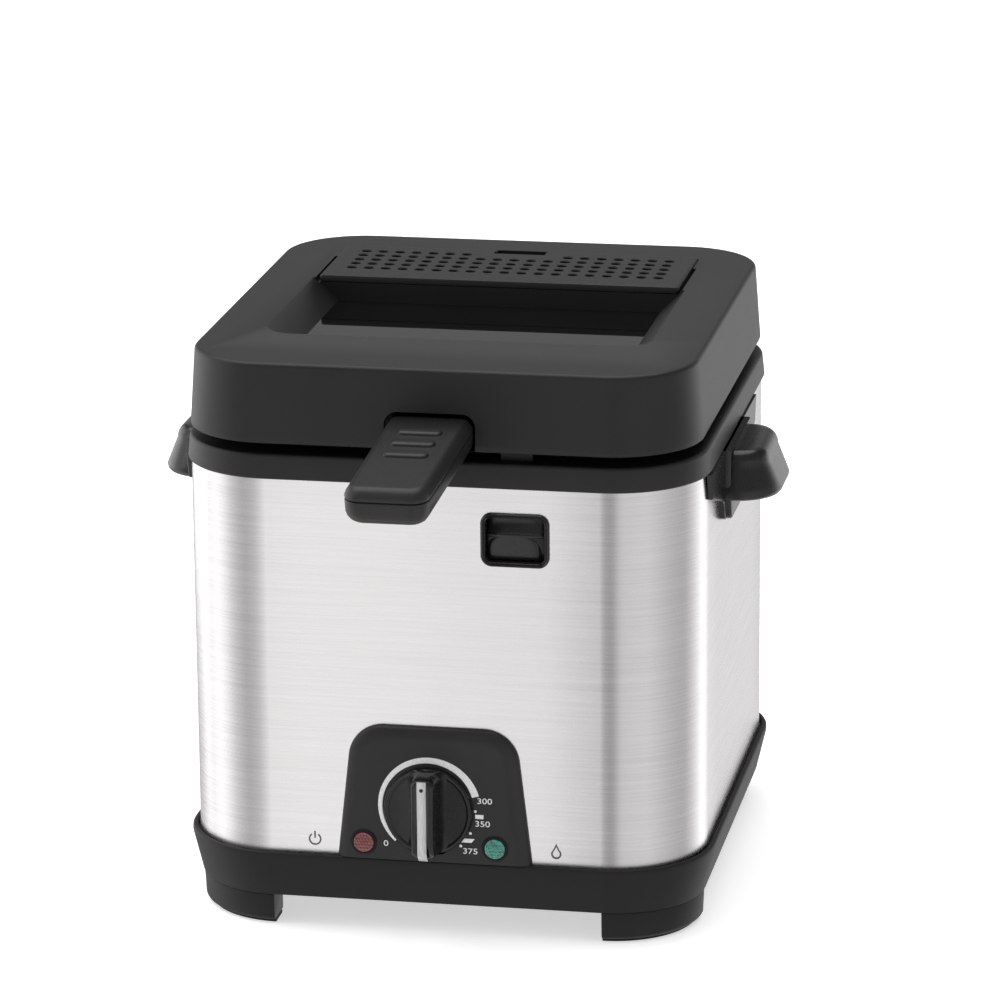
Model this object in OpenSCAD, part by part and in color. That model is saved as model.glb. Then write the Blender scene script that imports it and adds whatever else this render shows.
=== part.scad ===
// Compact deep fryer: square steel body with rounded corners, hinged lid with a window and a
// lift-out filter, frying basket with a front handle, and a dial and two lamps on a front panel.
// Millimetres, +Z up, front towards -Y. The origin is at the middle of the whole footprint.

/* [Body] */
// Width of the steel body
body_w = 200; // [160:1:250]
// Depth of the steel body
body_d = 215; // [175:1:265]
// Outside corner radius of the steel body
corner_r = 36; // [30:0.1:44]
// Height of steel between the base rim and the collar
steel_h = 148.3; // [120:0.1:185]
// Thickness of the steel sheet
steel_t = 0.8; // [0.6:0.1:1.2]

/* [Base] */
// Height of the feet, with their pads
foot_h = 12.4; // [10:0.1:16]
// Thickness of the rubber pads
pad_t = 1.2; // [1:0.1:3]
// Height of the base skirt
skirt_h = 18.7; // [15:0.1:23]
// How far the skirt's rim stands out from the steel
skirt_out = 3; // [2:0.1:4]
// How far the skirt pulls in towards its bottom edge
skirt_draft = 3.8; // [1:0.1:5]
// Wall thickness of the plastic base
base_wall = 3; // [2.5:0.1:4]
// Radial width of a foot
foot_w = 15; // [12:0.5:18]

/* [Collar and bowl] */
// Height of the collar round the top of the body
collar_h = 9.8; // [8:0.1:12]
// How far the collar pulls in towards its top
collar_draft = 0.6; // [0:0.1:1.5]
// Space between the steel's outside and the oil bowl
bowl_inset = 17; // [16:0.5:19]
// Depth of the oil bowl
bowl_depth = 116; // [90:1:135]
// Wall thickness of the oil bowl
bowl_t = 1.5; // [1.2:0.1:2]
// Width of the bowl's rolled flange
flange_w = 5; // [4:0.1:6]
// Thickness of the bowl's flange
flange_t = 1.2; // [1:0.1:1.6]

/* [Lid] */
// Shadow gap between collar and lid
lid_gap = 4.5; // [3.5:0.1:5.5]
// Height of the lid
lid_h = 30.7; // [25.5:0.1:37]
// How far each lid side stands out past the steel
lid_side_over = -1; // [-3:0.1:1.5]
// How far the lid's front and back stand out past the steel
lid_end_over = 2.5; // [1:0.1:3]
// Corner radius of the lid's bottom edge
lid_r = 34; // [32:1:38]
// How far the lid's wall leans in over its height
lid_draft = 2.2; // [1:0.1:3]
// Wall thickness of the lid
lid_wall = 2.6; // [2:0.1:3]
// Top surface left at each side of the window
window_side = 24; // [22:0.5:30]
// Top surface left in front of the window
window_front = 49; // [42:0.5:56]
// Front to back size of the window opening
window_d = 92; // [70:1:96]
// Corner radius of the window opening
window_r = 18; // [13:0.5:20]
// Width of the sloped border round the glass
window_slope = 10; // [6:0.5:11]
// Depth of the glass below the lid's top
window_drop = 9.4; // [8:0.1:11]
// Thickness of the window glass
glass_t = 3; // [2:0.1:4]

/* [Filter] */
// Front to back size of the filter cover
cover_d = 53; // [48:1:56]
// Thickness of the filter cover
cover_t = 2.5; // [2:0.1:3]
// Diameter of a vent hole
hole_d = 4.2; // [3:0.1:5]
// Sideways pitch of the vent holes
hole_px = 6.93; // [6:0.01:9]
// Front to back pitch of the vent holes
hole_py = 7.2; // [6.5:0.1:8]
// Rows of vent holes
hole_rows = 5; // [3:1:5]
// Thickness of the filter pad
filter_t = 9; // [6:0.5:10]

/* [Basket] */
// Space between the basket and the bowl
basket_gap = 4; // [3:0.5:6]
// Height of the basket
basket_h = 92; // [70:1:95]
// Wall thickness of the basket
basket_t = 1.4; // [1.2:0.1:2]
// Width of the handle at its seam
handle_w = 33; // [28:0.5:38]
// Thickness of the handle
handle_t = 14; // [11.5:0.1:17]
// Length of handle in front of the lid
handle_reach = 84; // [66:1:102]
// Downward tilt of the handle
handle_tilt = 3; // [0:0.5:5]
// Corner radius at the handle's tip
handle_r = 7; // [4:0.5:9]

/* [Carry handles] */
// How far a grip stands out from the steel
grip_out = 22; // [18:1:28]
// Length of a grip
grip_len = 54; // [46:1:64]
// Height of a grip
grip_h = 20; // [17:0.5:21]

/* [Controls] */
// Width of the control panel at its foot
panel_w = 75.6; // [66:0.2:84]
// Height of the control panel
panel_h = 53.3; // [48:0.1:60]
// Width of the control panel at its shoulders
panel_top_w = 66.4; // [60:0.2:70]
// Shoulder radius of the control panel
panel_r = 14; // [10:0.5:16]
// How far the panel stands out from the steel
panel_t = 3.6; // [3:0.1:5]
// Diameter of the temperature dial
dial_d = 34.4; // [30:0.2:39]
// Thickness of the dial's disc
dial_t = 2; // [1.5:0.5:3]
// Diameter of the thermostat shaft
shaft_d = 6; // [5:0.5:7]
// Sideways distance of a lamp from the dial's axis
lamp_x = 25.5; // [23:0.5:30]
// Diameter of a lamp lens
lamp_d = 8; // [6:0.2:9]
// Width of the release button's bezel
bezel_w = 26.3; // [22:0.1:30]
// Height of the release button's bezel
bezel_h = 21; // [18:0.1:24]
// Sideways place of the release button
button_x = 31.9; // [28:0.1:36]
// Travel of the release button
button_travel = 3; // [2:0.1:3.4]

/* [Fits] */
// Clearance between moving parts
gap = 0.4; // [0.3:0.05:0.6]
// Radial clearance of a turning shaft in its bore
shaft_gap = 0.05; // [0.03:0.01:0.1]
// Diameter of the hinge pin
pin_d = 4; // [3:0.5:5]

/* [Hidden] */
$fn = 64;

// Straight stretches of the walls, the same for body, base, collar and bowl
core_w = body_w / 2 - corner_r;
core_d = body_d / 2 - corner_r;
// Heights of the layers
skirt_z = foot_h;
steel_z = skirt_z + skirt_h;
collar_z = steel_z + steel_h;
flange_z = collar_z + collar_h;
lid_z = flange_z + lid_gap;
top_z = lid_z + lid_h;
front_y = -body_d / 2;
back_y = body_d / 2;
// Distances out from the core for the nested walls
steel_in = corner_r - steel_t;
bowl_out = corner_r - bowl_inset;
bowl_in = bowl_out - bowl_t;
collar_in = bowl_out + gap;
collar_top = corner_r - collar_draft;
skirt_rim = corner_r + skirt_out;
skirt_foot = skirt_rim - skirt_draft;
foot_out = skirt_foot - 1;
// The rear feet stand in from the sides
rear_inset = 5;
// Lid outline
lid_half_w = body_w / 2 + lid_side_over;
lid_half_d = body_d / 2 + lid_end_over;
lid_core_w = lid_half_w - lid_r;
lid_core_d = lid_half_d - lid_r;
lid_top_r = lid_r - lid_draft;
// Window opening in the lid's top
win_half_w = lid_half_w - window_side;
win_y0 = -lid_half_d + window_front - lid_draft + 2;
win_y1 = win_y0 + window_d;
glass_z = top_z - window_drop;
// Filter cover behind the window
cover_half_w = win_half_w - 2.5;
cover_y1 = win_y1 + cover_d;
cover_z = top_z - cover_t + 1;
hole_cols = 2 * floor((cover_half_w - 7) / hole_px) + 1;
groove_w = 1.6;
groove_len = 37;
slot_w = 21;
finger_d = 6;
// Rib that holds the lid's seal
seal_z = lid_z + 2;
// Basket
basket_out = bowl_in - basket_gap;
basket_z = flange_z - bowl_depth + 6;
strap_w = 18;
strap_t = 2;
strap_z = flange_z + flange_t + 3.2;
// Handle
root_y = -lid_half_d;
handle_clear = 2.9;
handle_top = flange_z + handle_clear + handle_t;
handle_seam = 5;
handle_in = 4;
notch_half = handle_w / 2 + 0.9;
notch_top = handle_top + 1.8;
notch_r = 4;
// Hinge axis behind the body
hinge_y = back_y + 8.5;
hinge_z = flange_z + 1;
hinge_r = 6;
hinge_half = 34;
ear_t = 6;
knuckle_half = hinge_half - ear_t - gap;
// Whole footprint, front to back
foremost = root_y - handle_reach;
rearmost = hinge_y + hinge_r;
middle_y = (foremost + rearmost) / 2;
// Controls
dial_z = steel_z + 20.7;
bar_proud = 11.5;
// The dial and the lamps sit a little left of the panel's middle
controls_x = -1.6;
lamp_z = steel_z + 6.6;
panel_y = front_y - panel_t;
button_z = collar_z - 19.9;
bezel_proud = 1.2;
bezel_rim = 1.9;
button_y = front_y + 1.6;
hole_w = bezel_w - 2 * bezel_rim - 2.2;
hole_h = bezel_h - 2 * bezel_rim - 2.2;
panel_screw_x = panel_top_w / 2 - 8;
panel_screw_z = steel_z + panel_h - 14;
dial_y = panel_y - 0.5;
grip_bar_w = 9;
bar_y = dial_y - dial_t - bar_proud;
inlay_w = 3.6;
inlay_t = 0.8;
// Latch behind the button
blade_w = 12;
blade_t = 2;
blade_y = front_y + 4.9;
blade_z = collar_z - 7;
catch_h = 9;
slider_y = blade_y + blade_t + 0.3;
slider_t = 2.2;
slider_w = 17;
bracket_y = front_y + bowl_inset - 2;
spring_d = 7;
// Heating parts
floor_z = flange_z - bowl_depth;
plate_r = min(core_w, core_d) + 4;
plate_t = 4;
ring_r = 52;
tube_r = 4;
tube_flat = 0.6;
tube_z = floor_z - bowl_t - plate_t - tube_r + tube_flat;
post_x = 38;
shield_z = floor_z - plate_t - 2 * tube_r - 8;
// Cord inlet at the back
gland_z = steel_z + 16;
gland_d = 14;
// Carry handles
grip_z = collar_z - grip_h - 1.2;
// The grips sit forward of the middle, and lean in towards their tops
grip_y = -16;
grip_lean = 5;
wall_x = body_w / 2;
plate_x = 4.5;
grip_r = 17;
grip_screw_y = grip_len / 2 - 14;

charcoal = "#3b3a3c";
gloss_black = "#18181a";
steel_grey = "#d9d9db";
alu_grey = "#9c9ea3";

module placed() {
    translate([0, -middle_y, 0]) children();
}

// Rounded rectangle, from the half sizes of its core and the distance out to the edge
module outline(half_w, half_d, out) {
    square([2 * (half_w + out), 2 * half_d], center = true);
    square([2 * half_w, 2 * (half_d + out)], center = true);
    for (x = [-1, 1], y = [-1, 1])
        translate([x * half_w, y * half_d]) circle(out);
}

module slab(half_w, half_d, out, z0, z1) {
    translate([0, 0, z0]) linear_extrude(z1 - z0) outline(half_w, half_d, out);
}

// A profile of [distance out, height] carried round a rounded rectangle
module wall_ring(half_w, half_d, profile) {
    for (i = [0 : 3]) {
        x = (i == 0 || i == 3) ? half_w : -half_w;
        y = i < 2 ? half_d : -half_d;
        translate([x, y, 0]) rotate([0, 0, 90 * i]) rotate_extrude(angle = 90) polygon(profile);
    }
    for (side = [0, 180]) rotate([0, 0, side]) {
        translate([half_w, half_d, 0]) rotate([90, 0, 0]) linear_extrude(2 * half_d) polygon(profile);
        translate([-half_w, half_d, 0]) rotate([90, 0, 90]) linear_extrude(2 * half_w) polygon(profile);
    }
}

// A solid block whose outside leans from one distance to another over its height
module leaning_block(half_w, half_d, out0, out1, z0, z1) {
    wall_ring(half_w, half_d, [[0, z0], [out0, z0], [out1, z1], [0, z1]]);
    translate([-half_w, -half_d, z0]) cube([2 * half_w, 2 * half_d, z1 - z0]);
}

// A box from its two corners
module span(a, b) {
    translate(a) cube(b - a);
}

// A plate with rounded corners standing in the XZ plane, from y0 back to y1
module upright(x, z, w, h, r, y0, y1) {
    translate([x, y1, z]) rotate([90, 0, 0]) linear_extrude(y1 - y0) outline(w / 2 - r, h / 2 - r, r);
}

module rod_y(x, z, d, y0, y1) {
    translate([x, y0, z]) rotate([-90, 0, 0]) cylinder(d = d, h = y1 - y0);
}

// ---- Body ----
module steel_wrap() color(steel_grey) placed() difference() {
    slab(core_w, core_d, corner_r, steel_z - skirt_h / 2, collar_z);
    slab(core_w, core_d, steel_in, steel_z - skirt_h, collar_z + 1);
    upright(button_x, button_z, bezel_w - 2 * bezel_rim, bezel_h - 2 * bezel_rim, 2,
        front_y - 1, front_y + steel_t + 3);
    for (x = [-lamp_x, lamp_x]) rod_y(controls_x + x, lamp_z, lamp_d + 1, front_y - 1, front_y + steel_t + 3);
    rod_y(controls_x, dial_z, shaft_d + 6, front_y - 1, front_y + steel_t + 3);
    for (x = [-1, 1]) rod_y(x * panel_screw_x, panel_screw_z, 3.4, front_y - 1, front_y + 4);
    for (s = [-1, 1], y = [-1, 1]) translate([s * (wall_x - 4), grip_y + y * grip_screw_y, grip_z + grip_h / 2])
        rotate([0, s * 90, 0]) cylinder(d = 4.4, h = 8);
    rod_y(0, gland_z, gland_d, back_y - 4, back_y + 1);
}

module base_skirt() color(charcoal) placed() difference() {
    wall_ring(core_w, core_d, [
        [skirt_foot - base_wall, skirt_z], [skirt_foot, skirt_z], [skirt_rim, steel_z - 1.6],
        [skirt_rim - 0.6, steel_z], [corner_r, steel_z], [corner_r, steel_z - skirt_h / 2],
        [skirt_foot - base_wall, steel_z - skirt_h / 2]]);
}

module base_plate() color(charcoal) placed() {
    difference() {
        slab(core_w, core_d, skirt_foot - base_wall, skirt_z, skirt_z + base_wall);
        for (x = [-1, 1], y = [-1, 1]) translate([x * (core_w - 6), y * (core_d - 6), skirt_z - 1])
            cylinder(d = 4.2, h = base_wall + 2);
    }
    for (x = [-1, 1], y = [-1, 1]) translate([x * post_x, y * post_x, skirt_z + base_wall])
        cylinder(d = 9, h = shield_z - skirt_z - base_wall);
}

// Each foot follows its corner of the skirt
module corner_sector(profile) {
    for (i = [0 : 3]) {
        half_w = i < 2 ? core_w - rear_inset : core_w;
        x = (i == 0 || i == 3) ? half_w : -half_w;
        y = i < 2 ? core_d : -core_d;
        translate([x, y, 0]) rotate([0, 0, 90 * i]) rotate_extrude(angle = 90) polygon(profile);
    }
}

module corner_feet() color(charcoal) placed()
    corner_sector([[foot_out - foot_w, pad_t], [foot_out - 1.2, pad_t], [foot_out, pad_t + 1.2],
        [foot_out + 0.6, skirt_z], [foot_out - foot_w, skirt_z]]);

module foot_pads() color("#202022") placed()
    corner_sector([[foot_out - foot_w + 2, 0], [foot_out - 2.5, 0], [foot_out - 2.5, pad_t],
        [foot_out - foot_w + 2, pad_t]]);

module base_screws() color(alu_grey) placed()
    for (x = [-1, 1], y = [-1, 1]) translate([x * (core_w - 6), y * (core_d - 6), 0]) {
        translate([0, 0, skirt_z - 2]) cylinder(d = 7, h = 2);
        translate([0, 0, skirt_z]) cylinder(d = 4.2, h = base_wall + 5);
    }

module top_collar() color(charcoal) placed() difference() {
    wall_ring(core_w, core_d, [
        [collar_in, collar_z], [steel_in - 2, collar_z], [steel_in - 2, collar_z - 6],
        [steel_in - 0.1, collar_z - 6], [steel_in - 0.1, collar_z], [corner_r, collar_z],
        [collar_top, flange_z], [collar_in, flange_z]]);
    span([button_x - blade_w / 2 - 1, blade_y - 1.6, collar_z - 1],
        [button_x + blade_w / 2 + 1, blade_y + blade_t + 0.6, flange_z + 1]);
}

module oil_bowl() color(alu_grey) placed() {
    difference() {
        slab(core_w, core_d, bowl_out, floor_z - bowl_t, flange_z);
        slab(core_w, core_d, bowl_in, floor_z, flange_z + 1);
    }
    difference() {
        slab(core_w, core_d, bowl_out + flange_w, flange_z, flange_z + flange_t);
        slab(core_w, core_d, bowl_in, flange_z - 1, flange_z + flange_t + 1);
    }
}

module heater_plate() color(alu_grey) placed()
    translate([0, 0, floor_z - bowl_t - plate_t]) cylinder(r = plate_r, h = plate_t);

module heating_element() color("#5a5550") placed() {
    rotate([0, 0, -70]) rotate_extrude(angle = 320) translate([ring_r, tube_z]) intersection() {
        circle(tube_r);
        translate([-tube_r, -tube_r]) square([2 * tube_r, 2 * tube_r - tube_flat]);
    }
    for (a = [-70, 250]) rotate([0, 0, a]) translate([ring_r, 0, tube_z - tube_r - 7])
        cylinder(r = 2.2, h = 8);
}

module heat_shield() color(steel_grey) placed() difference() {
    union() {
        translate([0, 0, shield_z]) cylinder(r = plate_r + 3, h = 1);
        difference() {
            translate([0, 0, shield_z]) cylinder(r = plate_r + 3, h = 14);
            translate([0, 0, shield_z]) cylinder(r = plate_r + 2, h = 15);
        }
    }
    for (a = [-70, 250]) rotate([0, 0, a]) translate([ring_r, 0, shield_z - 1]) cylinder(r = 4, h = 4);
}

module thermal_fuse() color("#c9bfae") placed()
    translate([-12, -18, floor_z - bowl_t - plate_t - 5]) rotate([0, 90, 0]) cylinder(d = 10, h = 24);

module terminal_block() color("#d8d2c4") placed() difference() {
    span([-16, back_y - 40, skirt_z + base_wall], [16, back_y - 26, skirt_z + base_wall + 12]);
    for (x = [-10, 0, 10]) rod_y(x, skirt_z + base_wall + 6, 3.4, back_y - 41, back_y - 25);
}

module cord_gland() color(gloss_black) placed() difference() {
    union() {
        rod_y(0, gland_z, gland_d, back_y - 5, back_y + 1);
        rod_y(0, gland_z, gland_d + 6, back_y, back_y + 4);
        rod_y(0, gland_z, gland_d + 4, back_y - 5, back_y - steel_t);
    }
    rod_y(0, gland_z, 7.2, back_y - 6, back_y + 5);
}

// ---- Controls ----
module panel_outline() {
    half = panel_top_w / 2;
    sh = panel_h - panel_r;
    union() {
        polygon([[-panel_w / 2, 0], [panel_w / 2, 0], [half, sh], [-half, sh]]);
        translate([-(half - panel_r), sh - 0.01]) square([2 * (half - panel_r), panel_r + 0.01]);
        for (s = [-1, 1]) translate([s * (half - panel_r), sh]) circle(panel_r);
    }
}

module control_panel() color(charcoal) placed() difference() {
    translate([0, front_y, steel_z]) rotate([90, 0, 0]) linear_extrude(panel_t) panel_outline();
    rod_y(controls_x, dial_z, shaft_d + 2, panel_y - 1, front_y + 1);
    for (x = [-lamp_x, lamp_x]) rod_y(controls_x + x, lamp_z, lamp_d, panel_y - 1, front_y + 1);
}

module panel_screws() color(alu_grey) placed()
    for (x = [-1, 1]) {
        rod_y(x * panel_screw_x, panel_screw_z, 3.2, front_y, front_y + 3);
        rod_y(x * panel_screw_x, panel_screw_z, 6, front_y + 3, front_y + 5);
    }

module lamp(x) placed() {
    rod_y(x, lamp_z, lamp_d, panel_y - 0.6, front_y + 4);
    translate([x, panel_y - 0.6, lamp_z]) rotate([90, 0, 0]) cylinder(d1 = lamp_d, d2 = lamp_d - 3, h = 0.8);
}
module lamp_red() color("#7d1f22") lamp(controls_x - lamp_x);
module lamp_green() color("#2f7d6e") lamp(controls_x + lamp_x);

module lamp_holders() color("#d8d2c4") placed()
    for (x = [-lamp_x, lamp_x]) rod_y(controls_x + x, lamp_z, lamp_d + 3, front_y + 4, front_y + 11);

module thermostat() color(alu_grey) placed() difference() {
    union() {
        span([controls_x - 14, front_y + 3, dial_z - 13], [controls_x + 14, front_y + 14, dial_z + 13]);
        rod_y(controls_x, dial_z, shaft_d + 6, front_y, front_y + 4);
    }
    rod_y(controls_x, dial_z, shaft_d + 2 * shaft_gap, front_y - 1, front_y + 10);
}

module thermostat_bulb() color("#b4713d") placed()
    translate([-30, ring_r - 78, floor_z - bowl_t - plate_t - 3]) rotate([90, 0, 90])
        cylinder(d = 6, h = 60);

module dial_knob() color(gloss_black) placed() difference() {
    union() {
        rod_y(controls_x, dial_z, dial_d, dial_y - dial_t, dial_y);
        translate([controls_x, bar_y, dial_z]) rotate([-90, 0, 0])
            linear_extrude(bar_proud + 0.5) outline(grip_bar_w / 2 - 3, dial_d / 2 - 3, 3);
        rod_y(controls_x, dial_z, shaft_d, dial_y - 1, front_y + 8);
    }
    span([controls_x - inlay_w / 2, bar_y - 1, dial_z - dial_d / 2 - 2],
        [controls_x + inlay_w / 2, bar_y + inlay_t, dial_z + dial_d / 2 + 2]);
}
module dial_inlay() color("#cfcfd2") placed()
    span([controls_x - inlay_w / 2, bar_y, dial_z - dial_d / 2], [controls_x + inlay_w / 2, bar_y + inlay_t,
        dial_z + dial_d / 2 - 2]);

module button_bezel() color(gloss_black) placed() difference() {
    union() {
        upright(button_x, button_z, bezel_w, bezel_h, 4.3, front_y - bezel_proud, front_y);
        upright(button_x, button_z, bezel_w - 2 * bezel_rim - 0.1, bezel_h - 2 * bezel_rim - 0.1, 1.9,
            front_y - 0.5, front_y + 4);
    }
    upright(button_x, button_z, hole_w, hole_h, 1.2, front_y - 5, front_y + 5);
}

module release_button() color(gloss_black) placed() {
    upright(button_x, button_z, hole_w - 2 * gap, hole_h - 2 * gap, 1, button_y, slider_y);
}

module latch_slider() color(steel_grey) placed() {
    span([button_x - slider_w / 2, slider_y, button_z - hole_h / 2],
        [button_x + slider_w / 2, slider_y + slider_t, collar_z - 0.8]);
}

module button_spring() color(steel_grey) placed() difference() {
    rod_y(button_x, button_z, spring_d, slider_y + slider_t, bracket_y);
    rod_y(button_x, button_z, spring_d - 2, slider_y, bracket_y + 1);
}

module latch_bracket() color(steel_grey) placed()
    span([button_x - slider_w / 2 - 3, bracket_y, button_z - hole_h / 2],
        [button_x + slider_w / 2 + 3, bracket_y + 1, collar_z]);

// ---- Carry handles ----
// Half a side view of the plate, from the leg's foot up to the top
bracket_leg = [[0, -28.4], [grip_len / 2 - 3, -28.4], [grip_len / 2, -20]];
bracket_ear = [[grip_len / 2 + 4, -19], [58, -10.4], [61, 0], [0, 0]];
ear_x = 2;
module bracket_side(points, x) {
    for (k = [0, 1]) mirror([k, 0, 0]) linear_extrude(x) polygon(points);
}
module bracket(s) placed() difference() {
    translate([s > 0 ? wall_x : -wall_x, grip_y, collar_z]) mirror([s > 0 ? 0 : 1, 0, 0])
        rotate([90, 0, 90]) {
            bracket_side(concat(bracket_leg, bracket_ear), ear_x);
            bracket_side(concat(bracket_leg, [[grip_len / 2, 0], [0, 0]]), plate_x);
        }
    for (y = [-1, 1]) translate([s * (wall_x - 1), grip_y + y * grip_screw_y, grip_z + grip_h / 2])
        rotate([0, s * 90, 0]) cylinder(d = 4, h = plate_x + 2);
}

module grip(s) placed() difference() {
    intersection() {
        translate([s * wall_x, grip_y, 0]) leaning_block(grip_out - grip_r, grip_len / 2 - grip_r, grip_r,
            grip_r - grip_lean, grip_z, grip_z + grip_h);
        span([s > 0 ? wall_x + plate_x : -wall_x - plate_x - 60, grip_y - grip_len, 0],
            [s > 0 ? wall_x + plate_x + 60 : -wall_x - plate_x, grip_y + grip_len, top_z]);
    }
    for (y = [-1, 1]) translate([s * (wall_x + plate_x - 1), grip_y + y * grip_screw_y, grip_z + grip_h / 2])
        rotate([0, s * 90, 0]) cylinder(d = 4, h = 8);
}

module left_bracket() color(gloss_black) bracket(-1);
module left_grip() color(gloss_black) grip(-1);
module right_bracket() color(gloss_black) bracket(1);
module right_grip() color(gloss_black) grip(1);

module grip_screws() color(alu_grey) placed()
    for (s = [-1, 1], y = [-1, 1])
        translate([s * wall_x, grip_y + y * grip_screw_y, grip_z + grip_h / 2]) rotate([0, s * 90, 0]) {
            translate([0, 0, -steel_t - 2]) cylinder(d = 7, h = 2);
            translate([0, 0, -steel_t]) cylinder(d = 4, h = steel_t + plate_x + 7);
        }

// ---- Hinge ----
module hinge_bracket() color(charcoal) placed() difference() {
    union() {
        span([-hinge_half, back_y, collar_z - 10], [hinge_half, rearmost - 2, collar_z]);
        for (s = [-1, 1]) {
            x0 = s > 0 ? hinge_half - ear_t : -hinge_half;
            span([x0, back_y, collar_z - 1], [x0 + ear_t, rearmost, hinge_z]);
            translate([x0, hinge_y, hinge_z]) rotate([0, 90, 0]) cylinder(r = hinge_r, h = ear_t);
        }
    }
    translate([-hinge_half - 1, hinge_y, hinge_z]) rotate([0, 90, 0])
        cylinder(d = pin_d, h = 2 * hinge_half + 2);
}

module hinge_pin() color(steel_grey) placed()
    translate([-hinge_half, hinge_y, hinge_z]) rotate([0, 90, 0]) cylinder(d = pin_d, h = 2 * hinge_half);

module lid_hinge() color(charcoal) placed() difference() {
    union() {
        translate([-knuckle_half, hinge_y, hinge_z]) rotate([0, 90, 0])
            cylinder(r = hinge_r - 0.6, h = 2 * knuckle_half);
        span([-knuckle_half, lid_half_d, lid_z + 1], [knuckle_half, hinge_y + 2, lid_z + 8]);
        span([-knuckle_half, hinge_y - 2, hinge_z], [knuckle_half, hinge_y + 2, lid_z + 4]);
    }
    translate([-knuckle_half - 1, hinge_y, hinge_z]) rotate([0, 90, 0])
        cylinder(d = pin_d + 2 * shaft_gap, h = 2 * knuckle_half + 2);
}

// ---- Lid ----
module window_cut(grow, z0, z1) {
    half_w = win_half_w - window_r;
    out1 = window_r + grow;
    out0 = window_r - window_slope + grow;
    mid = (win_y0 + win_y1) / 2 + window_r / 2;
    half_d = (win_y1 - win_y0) / 2 - window_r / 2;
    intersection() {
        translate([0, mid, 0]) leaning_block(half_w, half_d, out0, out1, z0, z1);
        span([-body_w, win_y0 - 20, z0], [body_w, win_y1 + grow, z1]);
    }
}

module lid_shell() color(charcoal) placed() difference() {
    leaning_block(lid_core_w, lid_core_d, lid_r, lid_top_r, lid_z, top_z);
    difference() {
        leaning_block(lid_core_w, lid_core_d, lid_r - lid_wall, lid_top_r - lid_wall, lid_z - 0.01,
            top_z - lid_wall);
        span([-win_half_w, win_y0 + 2, glass_z - lid_wall - glass_t], [win_half_w, cover_y1 + 7, top_z]);
        difference() {
            slab(core_w, core_d, bowl_out + 3.5, seal_z, top_z);
            slab(core_w, core_d, bowl_out + 1, seal_z - 1, top_z + 1);
        }
    }
    window_cut(0, glass_z, top_z + 0.01);
    span([-win_half_w + window_slope - 0.1, win_y0 + window_slope, lid_z],
        [win_half_w - window_slope + 0.1, win_y1, glass_z + 1]);
    span([-win_half_w + window_slope - 3, win_y0 + window_slope - 3, lid_z],
        [win_half_w - window_slope + 3, win_y1 + 3, glass_z]);
    // Well of the filter and seat of its cover
    span([-cover_half_w - gap, win_y1 - 0.01, cover_z - 0.3], [cover_half_w + gap, cover_y1 + gap, top_z + 1]);
    span([-cover_half_w + 5, win_y1 + 5, lid_z], [cover_half_w - 5, cover_y1 - 5, top_z]);
    // Grooves beside the cover and the finger slot behind it
    for (s = [-1, 1]) translate([s * (cover_half_w + groove_w / 2), win_y1 + groove_len / 2, top_z])
        cube([groove_w + 0.2, groove_len, 5], center = true);
    span([-slot_w / 2, cover_y1, top_z - 4], [slot_w / 2, cover_y1 + 4.2, top_z + 1]);
    // Notch for the basket handle
    translate([0, root_y + 32, 0]) rotate([90, 0, 0]) linear_extrude(40)
        translate([0, notch_top - notch_r - 20]) outline(notch_half - notch_r, 20, notch_r);
}

module lid_catch() color(charcoal) placed() {
    span([button_x - blade_w / 2, root_y + lid_wall + lid_draft * catch_h / lid_h, lid_z + 2],
        [button_x + blade_w / 2, blade_y + blade_t, lid_z + catch_h]);
    span([button_x - blade_w / 2, blade_y, blade_z],
        [button_x + blade_w / 2, blade_y + blade_t, lid_z + catch_h]);
}

module window_glass() color("#30343a", 0.5) placed()
    span([-win_half_w + window_slope - 2.9, win_y0 + window_slope - 2.9, glass_z - glass_t],
        [win_half_w - window_slope + 2.9, win_y1 + 2.9, glass_z]);

module lid_gasket() color("#202022") placed() difference() {
    slab(core_w, core_d, bowl_out + 3.5, flange_z + flange_t + gap, seal_z);
    slab(core_w, core_d, bowl_out + 1, flange_z, seal_z + 1);
    span([-notch_half, front_y - 5, lid_z - lid_gap], [notch_half, 0, notch_top]);
}

module filter_cover() color(charcoal) placed() difference() {
    span([-cover_half_w, win_y1, cover_z], [cover_half_w, cover_y1, top_z + 1]);
    span([-slot_w / 2, cover_y1 - finger_d, cover_z - 1], [slot_w / 2, cover_y1 + 1, top_z + 2]);
    for (row = [0 : hole_rows - 1], col = [0 : hole_cols - 1])
        if (row < hole_rows - 1 || abs(col - (hole_cols - 1) / 2) > 2.6)
            translate([(col - (hole_cols - 1) / 2) * hole_px, win_y1 + 15 + row * hole_py, cover_z - 1])
                cylinder(d = hole_d, h = cover_t + 2, $fn = 24);
}

module filter_pad() color("#2b2b2b") placed()
    span([-cover_half_w + 7, win_y1 + 7, cover_z - filter_t], [cover_half_w - 7, cover_y1 - 7, cover_z]);

module filter_mesh() color(steel_grey) placed()
    span([-cover_half_w + 7, win_y1 + 7, cover_z - 0.6 - filter_t],
        [cover_half_w - 7, cover_y1 - 7, cover_z - filter_t]);

// ---- Basket ----
module basket() color(steel_grey) placed() difference() {
    slab(core_w, core_d, basket_out, basket_z, basket_z + basket_h);
    slab(core_w, core_d, basket_out - basket_t, basket_z + basket_t, basket_z + basket_h + 1);
}

module basket_strap() color(steel_grey) placed() {
    y_in = -core_d - basket_out + basket_t;
    span([-strap_w / 2, y_in, basket_z + basket_h - 24], [strap_w / 2, y_in + strap_t, strap_z + strap_t]);
    span([-strap_w / 2, root_y + 3, strap_z], [strap_w / 2, y_in + strap_t, strap_z + strap_t]);
}

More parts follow.
